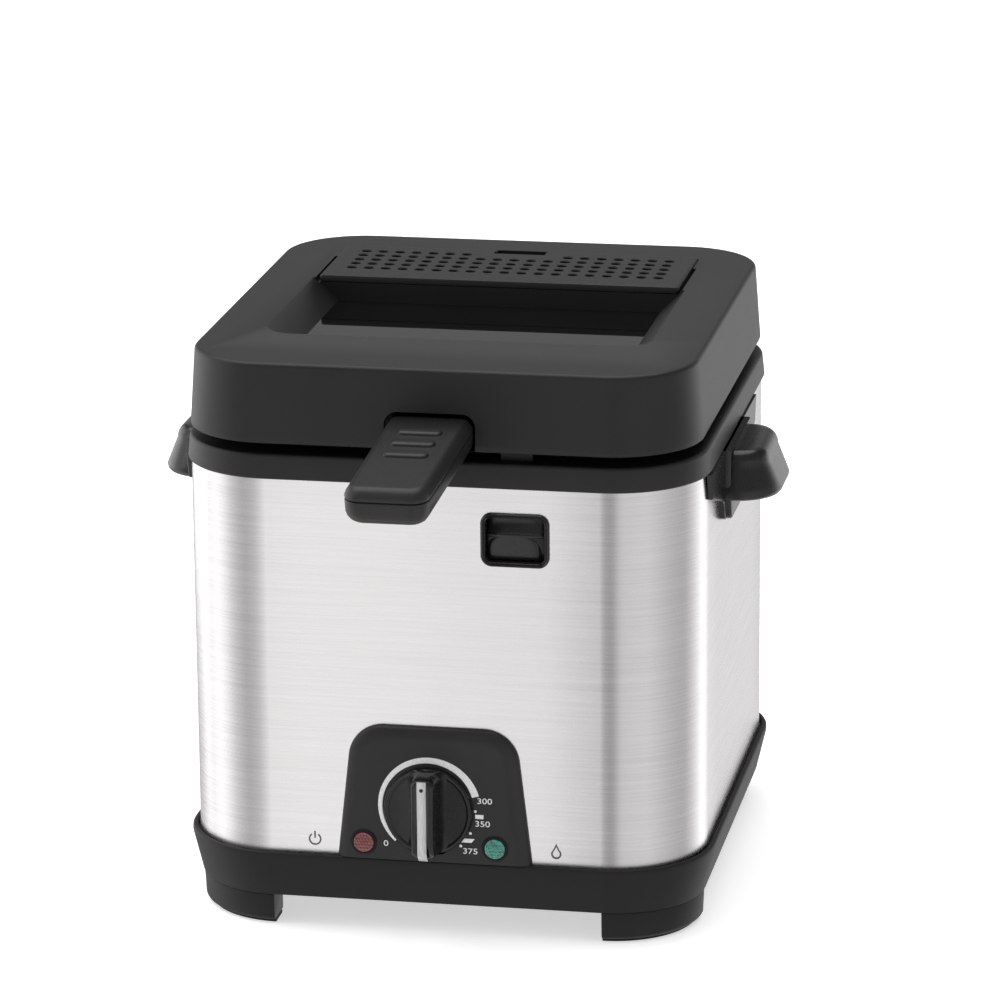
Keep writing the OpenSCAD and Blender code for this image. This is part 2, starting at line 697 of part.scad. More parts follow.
// The handle lies along -Y, then tips down about its root
module handle_part(z0, z1) {
    reach = handle_reach / cos(handle_tilt) + handle_in;
    translate([0, root_y + handle_in, handle_top]) rotate([handle_tilt, 0, 0]) intersection() {
        rotate([90, 0, 0]) linear_extrude(reach) translate([0, -handle_t / 2])
            outline(handle_w / 2 - 3, handle_t / 2 - 3, 3);
        translate([0, 0, z0]) linear_extrude(z1 - z0) translate([0, -reach / 2])
            outline(handle_w / 2 - handle_r, reach / 2 - handle_r, handle_r);
    }
}

module handle_upper() color(charcoal) placed() {
    handle_part(-handle_seam, 0);
    for (i = [0 : 2]) translate([0, root_y + handle_in, handle_top]) rotate([handle_tilt, 0, 0])
        span([-8.5, -18 - 13 * i - 6, -0.5], [8.5, -18 - 13 * i, 1.2]);
}

module handle_lower() color(charcoal) placed() difference() {
    handle_part(-handle_t, -handle_seam);
    span([-strap_w / 2, root_y + 3, strap_z], [strap_w / 2, root_y + 20, strap_z + strap_t]);
}

module handle_screws() color(alu_grey) placed()
    for (i = [0, 1]) translate([0, root_y + handle_in, handle_top]) rotate([handle_tilt, 0, 0])
        translate([0, -25 - 30 * i, -handle_t - 0.4]) cylinder(d = 6, h = 0.4);

steel_wrap();
base_skirt();
base_plate();
corner_feet();
foot_pads();
base_screws();
top_collar();
oil_bowl();
heater_plate();
heating_element();
heat_shield();
thermal_fuse();
terminal_block();
cord_gland();
thermostat();
thermostat_bulb();
control_panel();
panel_screws();
lamp_red();
lamp_green();
lamp_holders();
dial_knob();
dial_inlay();
button_bezel();
release_button();
latch_slider();
button_spring();
latch_bracket();
left_bracket();
left_grip();
right_bracket();
right_grip();
grip_screws();
hinge_bracket();
hinge_pin();
lid_shell();
lid_hinge();
lid_catch();
window_glass();
lid_gasket();
filter_cover();
filter_pad();
filter_mesh();
basket();
basket_strap();
handle_upper();
handle_lower();
handle_screws();
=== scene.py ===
import bpy
import bmesh
import math
from mathutils import Matrix, Vector


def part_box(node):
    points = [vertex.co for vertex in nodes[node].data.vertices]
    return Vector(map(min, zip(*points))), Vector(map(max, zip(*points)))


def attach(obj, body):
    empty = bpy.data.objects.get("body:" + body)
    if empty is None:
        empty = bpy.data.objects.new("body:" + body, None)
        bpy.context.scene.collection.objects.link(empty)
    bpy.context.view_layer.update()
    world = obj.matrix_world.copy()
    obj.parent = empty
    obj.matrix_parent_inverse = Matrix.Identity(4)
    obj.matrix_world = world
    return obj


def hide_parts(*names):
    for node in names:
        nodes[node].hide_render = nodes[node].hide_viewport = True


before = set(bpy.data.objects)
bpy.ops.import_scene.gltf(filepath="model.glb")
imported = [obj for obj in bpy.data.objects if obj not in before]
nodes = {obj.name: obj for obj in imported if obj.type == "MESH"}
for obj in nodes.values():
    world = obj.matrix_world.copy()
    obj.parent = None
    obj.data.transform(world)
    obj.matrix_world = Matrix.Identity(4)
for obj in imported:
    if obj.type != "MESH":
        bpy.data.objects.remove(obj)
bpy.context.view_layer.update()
MM = 0.001

# ---- Steel wrap ------------------------------------------------------------------------------
# One sheet of stainless steel, 0.8 mm thick, bent round the body with the brush lines running
# level all the way round. The base skirt grips its lower edge and the collar caps its upper one.
wrap_low, wrap_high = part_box("steel_wrap")
MID_Y = (wrap_low.y + wrap_high.y) / 2
FRONT_Y = wrap_low.y
BACK_Y = wrap_high.y
CORNER_R = 36 * MM
SHEET = 0.8 * MM
CORE = (wrap_high.x - CORNER_R, BACK_Y - MID_Y - CORNER_R)


def rim(half_w, y0, y1, z, r_front, r_back=None, turn=18, straight=6):
    """One level loop of points round a rectangle with rounded front and back corners."""
    r_back = r_front if r_back is None else r_back
    corners = [(half_w - r_back, y1 - r_back, 0, r_back), (r_back - half_w, y1 - r_back, 90, r_back),
               (r_front - half_w, y0 + r_front, 180, r_front), (half_w - r_front, y0 + r_front, 270, r_front)]
    loop = []
    for i, (x, y, start, r) in enumerate(corners):
        for k in range(turn + 1):
            a = math.radians(start + 90 * k / turn)
            loop.append(Vector((x + r * math.cos(a), y + r * math.sin(a), z)))
        x, y, start, r = corners[(i + 1) % 4]
        a = math.radians(start)
        there = Vector((x + r * math.cos(a), y + r * math.sin(a), z))
        here = loop[-1]
        loop += [here.lerp(there, k / straight) for k in range(1, straight)]
    return loop


def body_rim(out, z):
    """A level loop round the body, at a distance out from the straight stretches of its walls."""
    return rim(CORE[0] + out, MID_Y - CORE[1] - out, MID_Y + CORE[1] + out, z, out)


def arc(out, z, radius, start, end, steps=6):
    """Points (distance out, height) round an arc, between two angles in degrees."""
    turns = [math.radians(start + (end - start) * k / steps) for k in range(steps + 1)]
    return [(out + radius * math.cos(a), z + radius * math.sin(a)) for a in turns]


def keep_edges(mesh, angle):
    """Smooth shading, left crisp where two faces meet at more than the angle."""
    bm = bmesh.new()
    bm.from_mesh(mesh)
    bmesh.ops.recalc_face_normals(bm, faces=bm.faces)
    for face in bm.faces:
        face.smooth = True
    for edge in bm.edges:
        if len(edge.link_faces) == 2:
            edge.smooth = edge.calc_face_angle(0) < math.radians(angle)
    bm.to_mesh(mesh)
    bm.free()


def from_mesh(name, bm, angle=30):
    """A finished bmesh as a piece, left crisp past the angle."""
    mesh = bpy.data.meshes.new(name)
    bm.to_mesh(mesh)
    bm.free()
    keep_edges(mesh, angle)
    piece = bpy.data.objects.new(name, mesh)
    bpy.context.scene.collection.objects.link(piece)
    return piece


def skin(bm, rows, ring=False, caps=True):
    """Faces between rows of corners. A ring closes last to first, and others get end caps."""
    for low, high in list(zip(rows, rows[1:])) + ([(rows[-1], rows[0])] if ring else []):
        for i in range(len(low)):
            j = (i + 1) % len(low)
            bm.faces.new((low[i], low[j], high[j], high[i]))
    if caps and not ring:
        bm.faces.new(rows[0])
        bm.faces.new(rows[-1])


def loft(name, loops, ring=False, angle=30):
    """A piece skinned over loops of equal length."""
    bm = bmesh.new()
    skin(bm, [[bm.verts.new(p) for p in loop] for loop in loops], ring)
    return from_mesh(name, bm, angle)


def settle(piece, angle=30):
    """Applies a piece's modifiers to its mesh."""
    graph = bpy.context.evaluated_depsgraph_get()
    piece.data = bpy.data.meshes.new_from_object(piece.evaluated_get(graph))
    piece.modifiers.clear()
    keep_edges(piece.data, angle)
    return piece


def carve(piece, *cutters):
    """Cuts other pieces out of a piece, then drops them."""
    for cutter in cutters:
        cut = piece.modifiers.new("cut", "BOOLEAN")
        cut.operation, cut.solver, cut.object = "DIFFERENCE", "EXACT", cutter
    settle(piece)
    for cutter in cutters:
        bpy.data.objects.remove(cutter)
    return piece


def upright(name, x, z, w, h, r, y0, y1):
    """A plate standing face on, with rounded corners."""
    flat = rim(w / 2, -h / 2, h / 2, 0, r, turn=10, straight=3)
    return loft(name, [[Vector((x + p.x, y, z + p.y)) for p in flat] for y in (y0, y1)])


def linear(code):
    """An sRGB hex colour as linear RGBA."""
    parts = [int(code[i:i + 2], 16) / 255 for i in (1, 3, 5)]
    return tuple(c / 12.92 if c <= 0.04045 else ((c + 0.055) / 1.055) ** 2.4 for c in parts) + (1.0,)


def add(tree, kind, inputs=None, **settings):
    """Adds a shader node with its settings, its constant inputs and its links."""
    made = tree.nodes.new(kind)
    for key, value in settings.items():
        setattr(made, key, value)
    for key, value in (inputs or {}).items():
        if isinstance(value, bpy.types.NodeSocket):
            tree.links.new(value, made.inputs[key])
        else:
            made.inputs[key].default_value = value
    return made


def start_material(name, **finish):
    """A new material with its Principled shader, which takes the finish's constant values."""
    material = bpy.data.materials.new(name)
    material.use_nodes = True
    tree = material.node_tree
    shader = tree.nodes["Principled BSDF"]
    for key, value in finish.items():
        shader.inputs[key.replace("_", " ")].default_value = value
    return material, tree, shader


def ramp(tree, factor, stops):
    """A colour ramp through (place, sRGB hex) stops, driven by a factor."""
    made = add(tree, "ShaderNodeValToRGB", {"Fac": factor})
    elements = made.color_ramp.elements
    while len(elements) < len(stops):
        elements.new(0.5)
    for element, (place, code) in zip(elements, stops):
        element.position, element.color = place, linear(code)
    return made.outputs["Color"]


def vary(tree, shader, factor, stops=None, rough=None, bump=None):
    """Lets one pattern drive the colour, through (place, sRGB hex) stops, the roughness, as
    (pattern low, high, roughness low, high), and the bump, as (strength, depth)."""
    if stops:
        tree.links.new(ramp(tree, factor, stops), shader.inputs["Base Color"])
    if rough:
        spread = add(tree, "ShaderNodeMapRange", {"Value": factor, "From Min": rough[0], "From Max": rough[1],
                                                  "To Min": rough[2], "To Max": rough[3]})
        tree.links.new(spread.outputs[0], shader.inputs["Roughness"])
    if bump:
        relief = add(tree, "ShaderNodeBump", {"Height": factor, "Strength": bump[0], "Distance": bump[1]})
        tree.links.new(relief.outputs[0], shader.inputs["Normal"])


def brushed_stainless():
    """Stainless sheet, brushed level with fine grit: long hairlines that spread each highlight
    up and down and keep it narrow sideways. The hairlines are 0.6 mm apart, coarser than real."""
    material, tree, shader = start_material("brushed_stainless_steel", Metallic=1.0, Anisotropic=0.8,
                                            Anisotropic_Rotation=0.25)
    place = add(tree, "ShaderNodeTexCoord").outputs["Object"]
    across, along = 1 / (0.6 * MM), 1 / (45 * MM)
    stretched = add(tree, "ShaderNodeMapping", {"Vector": place, "Scale": (along, along, across)})
    hairline = add(tree, "ShaderNodeTexNoise", {"Vector": stretched.outputs[0], "Scale": 1.0, "Detail": 3.0,
                                                "Roughness": 0.6})
    vary(tree, shader, hairline.outputs["Fac"], [(0.3, "#dedbdc"), (0.5, "#e6e3e3"), (0.7, "#ecebeb")],
         (0.3, 0.7, 0.25, 0.29), (0.12, 0.05 * MM))
    tangent = add(tree, "ShaderNodeTangent", direction_type="RADIAL", axis="Z")
    tree.links.new(tangent.outputs[0], shader.inputs["Tangent"])
    return material


def finish_piece(piece, material, body, slot, *replaced):
    """Gives a piece its material, rides it on its body, and hides the CAD parts it stands for. The slot is
    not used.
    """
    piece.data.materials.clear()
    piece.data.materials.append(material)
    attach(piece, body)
    if replaced:
        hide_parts(*replaced)
    return piece


STAINLESS = brushed_stainless()
bezel_low, bezel_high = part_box("button_bezel")
BUTTON_X = (bezel_low.x + bezel_high.x) / 2
BUTTON_Z = (bezel_low.z + bezel_high.z) / 2
bezel_w, bezel_h = bezel_high.x - bezel_low.x, bezel_high.z - bezel_low.z
wrap = loft("steel_wrap_sheet", [body_rim(out, z) for out, z in [
    (CORNER_R - SHEET, wrap_low.z), (CORNER_R, wrap_low.z), (CORNER_R, wrap_high.z),
    (CORNER_R - SHEET, wrap_high.z)]], ring=True)
carve(wrap, upright("button_hole", BUTTON_X, BUTTON_Z, bezel_w - 3.5 * MM, bezel_h - 3.5 * MM, 2.4 * MM,
                    FRONT_Y - 5 * MM, FRONT_Y + 5 * MM))
finish_piece(wrap, STAINLESS, "body", "brushed_steel", "steel_wrap")

# ---- Base ------------------------------------------------------------------------------------
# The base is moulded in charcoal polypropylene with a fine spark-eroded grain, its colour drawn
# darker than the collar's as painted shade. The skirt's rounded rim stands out round the steel, and
# its wall leans in towards the four corner feet.
skirt_low, skirt_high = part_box("base_skirt")


def noise(tree, size, detail=2.0, distortion=0.0):
    """A noise pattern fixed to its piece, in patches of about a given size."""
    place = add(tree, "ShaderNodeTexCoord").outputs["Object"]
    made = add(tree, "ShaderNodeTexNoise", {"Vector": place, "Scale": 1 / size, "Detail": detail,
                                            "Distortion": distortion})
    return made.outputs["Fac"]


def moulded_charcoal(name, code, light, grain_mm, roughness):
    """Moulded plastic with a fine eroded grain: matte and even face on, paler where light grazes.
    The grain is drawn coarser than the real 0.1 mm so that it shows."""
    material, tree, shader = start_material(name, IOR=1.49, Specular_IOR_Level=0.4)
    grain, patch = noise(tree, grain_mm * MM), noise(tree, 35 * MM, 3.0)
    both = add(tree, "ShaderNodeMath", {0: grain, 1: patch}, operation="ADD")
    half = add(tree, "ShaderNodeMath", {0: both.outputs[0], 1: 0.5}, operation="MULTIPLY")
    vary(tree, shader, half.outputs[0], [(0.35, code), (0.65, light)])
    vary(tree, shader, grain, None, (0.3, 0.7, roughness - 0.05, roughness + 0.05), (0.25, 0.06 * MM))
    return material


CHARCOAL = moulded_charcoal("moulded_charcoal_polypropylene", "#191819", "#1e1c1e", 0.45, 0.46)
# The same charcoal polypropylene as the collar, drawn darker as painted shade, with a satin finish
BASE_CHARCOAL_DARKENED_AS_SHADE = moulded_charcoal("satin_charcoal_polypropylene_darkened_as_shade", "#0f0f0f", "#131213", 0.45, 0.56)
skirt_rim = skirt_high.x - CORE[0]
skirt_foot = skirt_rim - 3.8 * MM
skirt_in, on_steel = skirt_foot - 3 * MM, CORNER_R + 0.05 * MM
lip_r, foot_r = 1.05 * MM, 0.4 * MM
groove_z, shelf_z = skirt_high.z - 2.2 * MM, skirt_high.z - 9 * MM
base_profile = ([(on_steel, skirt_high.z - 4 * MM), (on_steel, groove_z), (skirt_rim - 2 * lip_r, groove_z)]
                + arc(skirt_rim - lip_r, skirt_high.z - lip_r, lip_r, 180, 0, 10)
                + [(skirt_rim, skirt_high.z - 2.4 * MM)]
                + arc(skirt_foot - foot_r, skirt_low.z + foot_r, foot_r, 0, -90, 3)
                + [(skirt_in, skirt_low.z), (skirt_in, shelf_z), (on_steel, shelf_z)])
skirt = loft("base_skirt_moulding", [body_rim(out, z) for out, z in base_profile], ring=True)
finish_piece(skirt, BASE_CHARCOAL_DARKENED_AS_SHADE, "body", "charcoal_plastic", "base_skirt")

# ---- Feet ------------------------------------------------------------------------------------
# Each corner has a short moulded foot that follows the body's corner, with a rubber pad under it.
# The rear feet stand in from the sides.
REAR_IN = 5 * MM
feet_low, feet_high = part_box("corner_feet")


def corner_block(profile, corner, turn=18):
    """The stretch of a swept profile that follows one corner of the body, as a closed solid."""
    x, y, start = [(1, 1, 0), (-1, 1, 90), (-1, -1, 180), (1, -1, 270)][corner]
    across = x * (CORE[0] - (REAR_IN if y > 0 else 0))
    bm = bmesh.new()
    rows = []
    for k in range(turn + 1):
        a = math.radians(start + 90 * k / turn)
        rows.append([bm.verts.new((across + out * math.cos(a), MID_Y + y * CORE[1] + out * math.sin(a), z))
                     for out, z in profile])
    skin(bm, rows)
    return bm


def join(name, parts, angle=30):
    """Several bmesh blocks as one piece."""
    whole = bmesh.new()
    for part in parts:
        mesh = bpy.data.meshes.new("part")
        part.to_mesh(mesh)
        part.free()
        whole.from_mesh(mesh)
        bpy.data.meshes.remove(mesh)
    return from_mesh(name, whole, angle)


def ease(piece, width, segments=3, angle=30):
    """Rounds a piece's sharp edges, as a mould or a file does."""
    bevel = piece.modifiers.new("ease", "BEVEL")
    bevel.width, bevel.segments, bevel.limit_method = width, segments, "ANGLE"
    bevel.angle_limit = math.radians(angle)
    return settle(piece, angle)


foot_out = feet_high.x - CORE[0]
foot_in, toe_r = foot_out - 15.6 * MM, 2.2 * MM
foot_profile = ([(foot_in, feet_low.z)]
                + arc(foot_out - 2.6 * MM, feet_low.z + toe_r, toe_r, -90, -8, 6)
                + [(foot_out, feet_high.z), (foot_in, feet_high.z)])
feet = join("corner_feet_moulding", [corner_block(foot_profile, corner) for corner in range(4)])
ease(feet, 0.5 * MM, angle=50)
# The feet take the base's darker charcoal, which is painted shade
finish_piece(feet, BASE_CHARCOAL_DARKENED_AS_SHADE, "body", "charcoal_plastic", "corner_feet")


def patterned(name, size, detail, stops, rough=None, bump=None, distortion=0.0, **finish):
    """A material that one noise pattern of a given size varies."""
    material, tree, shader = start_material(name, **finish)
    vary(tree, shader, noise(tree, size, detail, distortion), stops, rough, bump)
    return material


def moulded_rubber():
    """Moulded nitrile or silicone rubber: very dark, with a dusty bloom and hardly any shine."""
    return patterned("moulded_black_rubber", 3 * MM, 5.0, [(0.3, "#161617"), (0.7, "#232324")],
                     bump=(0.3, 0.1 * MM), IOR=1.42, Roughness=0.85)


RUBBER = moulded_rubber()


def finish_node(material, *names):
    """Gives CAD nodes whose shape is right their real material."""
    for name in names:
        mesh = nodes[name].data
        mesh.materials.clear()
        mesh.materials.append(material)


finish_node(RUBBER, "foot_pads")
finish_node(CHARCOAL, "base_plate")


def plated_steel():
    """Zinc-plated steel for screws, brackets and springs: bright grey with a faint mottle."""
    return patterned("bright_zinc_plated_steel", 2.5 * MM, 4.0, [(0.3, "#b4b6b9"), (0.7, "#d3d5d8")],
                     rough=(0.3, 0.7, 0.22, 0.36), Metallic=1.0)


PLATED = plated_steel()
finish_node(PLATED, "base_screws", "panel_screws", "grip_screws", "handle_screws", "latch_slider",
            "latch_bracket", "hinge_pin")

# ---- Collar ----------------------------------------------------------------------------------
# A charcoal moulding that caps the steel and carries the bowl. Its foot is a rounded lip, its wall
# leans in above it, and a slot behind the button lets the lid's catch blade through.
collar_low, collar_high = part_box("top_collar")
bowl_low, bowl_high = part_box("oil_bowl")
LIP_R, LIP_OUT, BROW_R = 0.9 * MM, 1.3 * MM, 1.5 * MM
collar_foot = collar_low.z + 6 * MM
collar_out = CORNER_R + LIP_OUT
collar_top = CORNER_R + 0.5 * MM
bowl_out = bowl_high.x - CORE[0] - 5 * MM
collar_in = bowl_out + 0.4 * MM
collar_profile = ([(collar_in, collar_foot), (collar_out - LIP_R, collar_foot)]
                  + arc(collar_out - LIP_R, collar_foot + LIP_R, LIP_R, -90, 0, 4)
                  + arc(collar_top - BROW_R, collar_high.z - BROW_R, BROW_R, 0, 90)
                  + [(collar_in, collar_high.z)])
collar = loft("top_collar_moulding", [body_rim(out, z) for out, z in collar_profile], ring=True)
catch_low, catch_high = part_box("lid_catch")


def block(low, high):
    """A plain box as bmesh, to cut with or to join into a piece."""
    bm = bmesh.new()
    bmesh.ops.create_cube(bm, size=1)
    size, middle = Vector(high) - Vector(low), (Vector(high) + Vector(low)) / 2
    bmesh.ops.transform(bm, matrix=Matrix.Translation(middle) @ Matrix.Diagonal((*size, 1)), verts=bm.verts)
    return bm


carve(collar, from_mesh("catch_slot", block(
    (catch_low.x - 1 * MM, FRONT_Y + 3.3 * MM, collar_foot - 2 * MM),
    (catch_high.x + 1 * MM, FRONT_Y + 7.5 * MM, collar_high.z + 2 * MM))))
finish_piece(collar, CHARCOAL, "body", "charcoal_plastic", "top_collar")

# ---- Bowl and heating ------------------------------------------------------------------------
# The oil bowl is drawn from aluminium and coated dark grey inside, with a rolled flange on the
# collar. The heater plate, its tube and the shield are under it, with the fuse and the bulb.
bowl_in = bowl_out - 1.5 * MM
bowl_floor = bowl_low.z + 1.5 * MM


def coated_aluminium():
    """Drawn aluminium with a sprayed non-stick coat: dark grey, satin, with tiny paler flecks."""
    material, tree, shader = start_material("non_stick_coated_aluminium", IOR=1.38, Metallic=0.35)
    place = add(tree, "ShaderNodeTexCoord").outputs["Object"]
    fleck = add(tree, "ShaderNodeTexVoronoi", {"Vector": place, "Scale": 1 / (1.6 * MM)})
    vary(tree, shader, fleck.outputs["Distance"], [(0.08, "#8a8b8e"), (0.16, "#3c3d40"), (1.0, "#35363a")])
    vary(tree, shader, noise(tree, 12 * MM), None, (0, 1, 0.28, 0.42))
    return material


BOWL_BEND, FLANGE_R, HEM_R, HEM_IN = 12 * MM, 2.2 * MM, 0.6 * MM, 0.9 * MM
under_bend = BOWL_BEND + 1 * MM
bowl_profile = (arc(bowl_in - BOWL_BEND, bowl_floor + BOWL_BEND, BOWL_BEND, -90, 0, 8)
                + arc(bowl_in + FLANGE_R, bowl_high.z - FLANGE_R, FLANGE_R, 180, 90, 5)
                + arc(bowl_out + 4.4 * MM, bowl_high.z - HEM_R, HEM_R, 90, -90, 4)
                + arc(bowl_out + HEM_IN, bowl_high.z - 2.1 * MM, HEM_IN, 90, 180, 3)
                + arc(bowl_out - BOWL_BEND - 1 * MM, bowl_floor + BOWL_BEND - 0.5 * MM, under_bend,
                      0, -90, 8))
bowl = loft("oil_bowl_pressing", [body_rim(out, z) for out, z in bowl_profile])
finish_piece(bowl, coated_aluminium(), "body", "cast_aluminium", "oil_bowl")


def cast_aluminium():
    """Die-cast aluminium, left as cast: pale grey, slightly grainy, softly shiny."""
    return patterned("as_cast_aluminium", 1.2 * MM, 6.0, [(0.3, "#8f9195"), (0.7, "#adafb3")],
                     (0, 1, 0.4, 0.6), (0.3, 0.1 * MM), Metallic=1.0)


finish_node(cast_aluminium(), "heater_plate", "thermostat")


def oxidised_sheath():
    """A heater tube's steel sheath after some hours of heat: brown-grey with straw and blue bands."""
    return patterned("oxidised_heater_sheath", 14 * MM, 4.0,
                     [(0.3, "#4a443f"), (0.5, "#6b5c4b"), (0.7, "#565a63")], Metallic=0.9, Roughness=0.5)


finish_node(oxidised_sheath(), "heating_element")
finish_node(PLATED, "heat_shield")


def drawn_copper():
    """Drawn copper capillary: warm, slightly dulled by handling."""
    return patterned("drawn_copper", 6 * MM, 5.0, [(0.3, "#8d5a3c"), (0.7, "#c98a66")],
                     (0, 1, 0.25, 0.5), Metallic=1.0)


finish_node(drawn_copper(), "thermostat_bulb")


def white_insulator():
    """Steatite and nylon insulators: off-white and chalky, with a slight yellow cast."""
    return patterned("off_white_insulator", 2 * MM, 5.0, [(0.3, "#cfc8b8"), (0.7, "#e4dfd2")],
                     IOR=1.5, Roughness=0.6)


finish_node(white_insulator(), "thermal_fuse", "terminal_block", "lamp_holders")

# ---- Control panel ---------------------------------------------------------------------------
# A charcoal moulding screwed to the steel from behind, 3.6 mm proud with an eased front edge. Its
# scale is printed in white round the dial, with plain numbers for three oil temperatures.
panel_low, panel_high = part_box("control_panel")
dial_low, dial_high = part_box("dial_knob")
DIAL_X, DIAL_Z = (dial_low.x + dial_high.x) / 2, (dial_low.z + dial_high.z) / 2
panel_h = panel_high.z - panel_low.z
SPLAY, SHOULDER_R = 4.6 * MM, 14 * MM


def panel_loop(inset, y):
    """The panel's outline with a splayed foot and two rounded shoulders, drawn in by an inset."""
    foot, shoulder, r = panel_high.x - inset, panel_high.x - SPLAY - inset, SHOULDER_R - inset
    top = panel_high.z - inset
    lean = math.atan2(foot - shoulder, panel_h)
    loop = [Vector((-foot + 2 * foot * k / 24, y, panel_low.z)) for k in range(25)]
    points = []
    for k in range(17):
        a = lean + (math.pi / 2 - lean) * k / 16
        points.append((shoulder - r + r * math.cos(a), top - r + r * math.sin(a)))
    rise = [(foot + (points[0][0] - foot) * k / 6, panel_low.z + (points[0][1] - panel_low.z) * k / 6)
            for k in range(1, 6)]
    side = rise + points
    loop += [Vector((x, y, z)) for x, z in side]
    loop += [Vector((points[-1][0] * (1 - 2 * k / 12), y, top)) for k in range(1, 12)]
    loop += [Vector((-x, y, z)) for x, z in reversed(side)]
    return loop


# The face falls away over its last 5 mm in a soft slope, then turns square to the steel, as
# (inset, depth) in mm
slope_rows = [(6.0, 0.0), (5.2, 0.0), (4.4, 0.12), (3.4, 0.42), (2.2, 0.9), (1.2, 1.35), (0.55, 1.85),
              (0.15, 2.5), (0.0, 3.2), (0.0, 3.55)]
PANEL_CHARCOAL = moulded_charcoal("satin_charcoal_abs", "#201f20", "#262425", 0.5, 0.42)
panel = loft("control_panel_moulding", [panel_loop(inset * MM, panel_low.y + depth * MM)
                                        for inset, depth in slope_rows], angle=40)
finish_piece(panel, PANEL_CHARCOAL, "body", "charcoal_plastic", "control_panel")


def printed_ink(name, code, light):
    """Screen-printed ink: opaque and satin, with a faint unevenness where the screen left it thin."""
    return patterned(name, 0.8 * MM, 3.0, [(0.3, code), (0.7, light)], IOR=1.5, Roughness=0.45)


WHITE_INK = printed_ink("white_screen_print", "#d2d2d2", "#ececec")
INK_T = 0.12 * MM
ink_y = panel_low.y - INK_T
SCALE_UP = 1.2 * MM


def flat_shape(points, y0, y1):
    """A flat face-on shape through (x, z) points, as a thin bmesh block."""
    bm = bmesh.new()
    front, back = [[bm.verts.new((x, y, z)) for x, z in points] for y in (y0, y1)]
    bm.faces.new(front)
    bm.faces.new(back)
    skin(bm, [front, back], caps=False)
    return bm


def on_dial(radius, bearing):
    """A point at a distance from the scale's centre, on a bearing clockwise from straight up."""
    a = math.radians(bearing)
    return (DIAL_X + radius * math.sin(a), DIAL_Z + SCALE_UP + radius * math.cos(a))


def sweep_band(start, end, inner, outer, steps=40):
    """A printed band round the dial, whose two radii each run from one value to another."""
    def lerp(pair, t):
        return pair[0] + (pair[1] - pair[0]) * t
    bearings = [(k / steps, start + (end - start) * k / steps) for k in range(steps + 1)]
    points = [on_dial(lerp(outer, t) * MM, b) for t, b in bearings]
    return flat_shape(points + [on_dial(lerp(inner, t) * MM, b) for t, b in reversed(bearings)],
                      ink_y, panel_low.y + 0.3 * MM)


# Bars and dots beside the numbers, as (across, up) from the dial's axis in mm
BARS = [[(18.0, -0.7), (21.2, -0.7), (21.2, -2.3), (18.0, -2.3)],
        [(13.8, -10.5), (17.8, -10.5), (16.5, -12.1), (12.5, -12.1)]]
DOTS = [(18.1, 0.6), (16.1, -8.3), (12.3, -13.6)]


def beside_dial(points):
    """A printed patch through (across, up) points in mm from the dial's axis."""
    return flat_shape([(DIAL_X + x * MM, DIAL_Z + z * MM) for x, z in points], ink_y, panel_low.y + 0.3 * MM)


marks = [sweep_band(-137, 74, (18.2, 17.5), (19.5, 20.3))] + [beside_dial(bar) for bar in BARS]
DOT_R = 0.55
for x, z in DOTS:
    marks.append(beside_dial([(x + DOT_R * math.cos(a), z + DOT_R * math.sin(a))
                              for a in [2 * math.pi * k / 16 for k in range(16)]]))
scale_print = join("dial_scale_print", marks)
finish_piece(scale_print, WHITE_INK, "body", "silver_inlay")


def printed_text(name, text, x, z, size, ink):
    """A printed number or sign that lies on the panel's face."""
    curve = bpy.data.curves.new(name, "FONT")
    curve.body, curve.size, curve.extrude = text, size, 0.1 * MM
    curve.align_x, curve.align_y = "CENTER", "CENTER"
    made = bpy.data.objects.new(name, curve)
    bpy.context.scene.collection.objects.link(made)
    graph = bpy.context.evaluated_depsgraph_get()
    mesh = bpy.data.meshes.new_from_object(made.evaluated_get(graph))
    bpy.data.objects.remove(made)
    # The printed figures are a quarter wider than the plain font's
    wide = Matrix.Diagonal((1.25, 1, 1, 1))
    mesh.transform(Matrix.Translation((x, ink_y, z)) @ Matrix.Rotation(math.pi / 2, 4, "X") @ wide)
    piece = bpy.data.objects.new(name, mesh)
    bpy.context.scene.collection.objects.link(piece)
    return finish_piece(piece, ink, "body", "silver_inlay")


NUMBER_H = 3.2 * MM
for text, x, z in [("300", 21.7, 4.8), ("350", 20.8, -4.4), ("375", 16.0, -15.6), ("0", -16.8, -14.2)]:
    printed_text("dial_number_" + text, text, DIAL_X + x * MM, DIAL_Z + z * MM, NUMBER_H, WHITE_INK)

# ---- Signs beside the lamps ------------------------------------------------------------------
# Two small signs are printed in grey on the steel: a power sign by the red lamp, which is lit with
# the mains on, and an oil drop by the green lamp, which is lit when the oil is hot.
GREY_INK = printed_ink("dark_grey_screen_print", "#4a4a4d", "#5c5c60")
SIGN_X, SIGN_Z = 47 * MM, 36.5 * MM
sign_faces = (FRONT_Y - INK_T, FRONT_Y + 0.1 * MM)


def ring_shape(x, z, radius, width, start, end, steps=28):
    """Part of a ring, face on, on bearings clockwise from straight up."""
    bearings = [math.radians(start + (end - start) * k / steps) for k in range(steps + 1)]
    points = [(x + r * math.sin(a), z + r * math.cos(a)) for r, line in
              ((radius + width / 2, bearings), (radius - width / 2, bearings[::-1])) for a in line]
    return flat_shape(points, *sign_faces)


stem = flat_shape([(-SIGN_X + x * MM, SIGN_Z + z * MM) for x, z in
                   [(-0.3, 0.4), (0.3, 0.4), (0.3, 3.2), (-0.3, 3.2)]], *sign_faces)
power_sign = join("power_sign_print", [ring_shape(-SIGN_X, SIGN_Z, 2.2 * MM, 0.6 * MM, 35, 325), stem])
finish_piece(power_sign, GREY_INK, "body", "gloss_black_plastic")
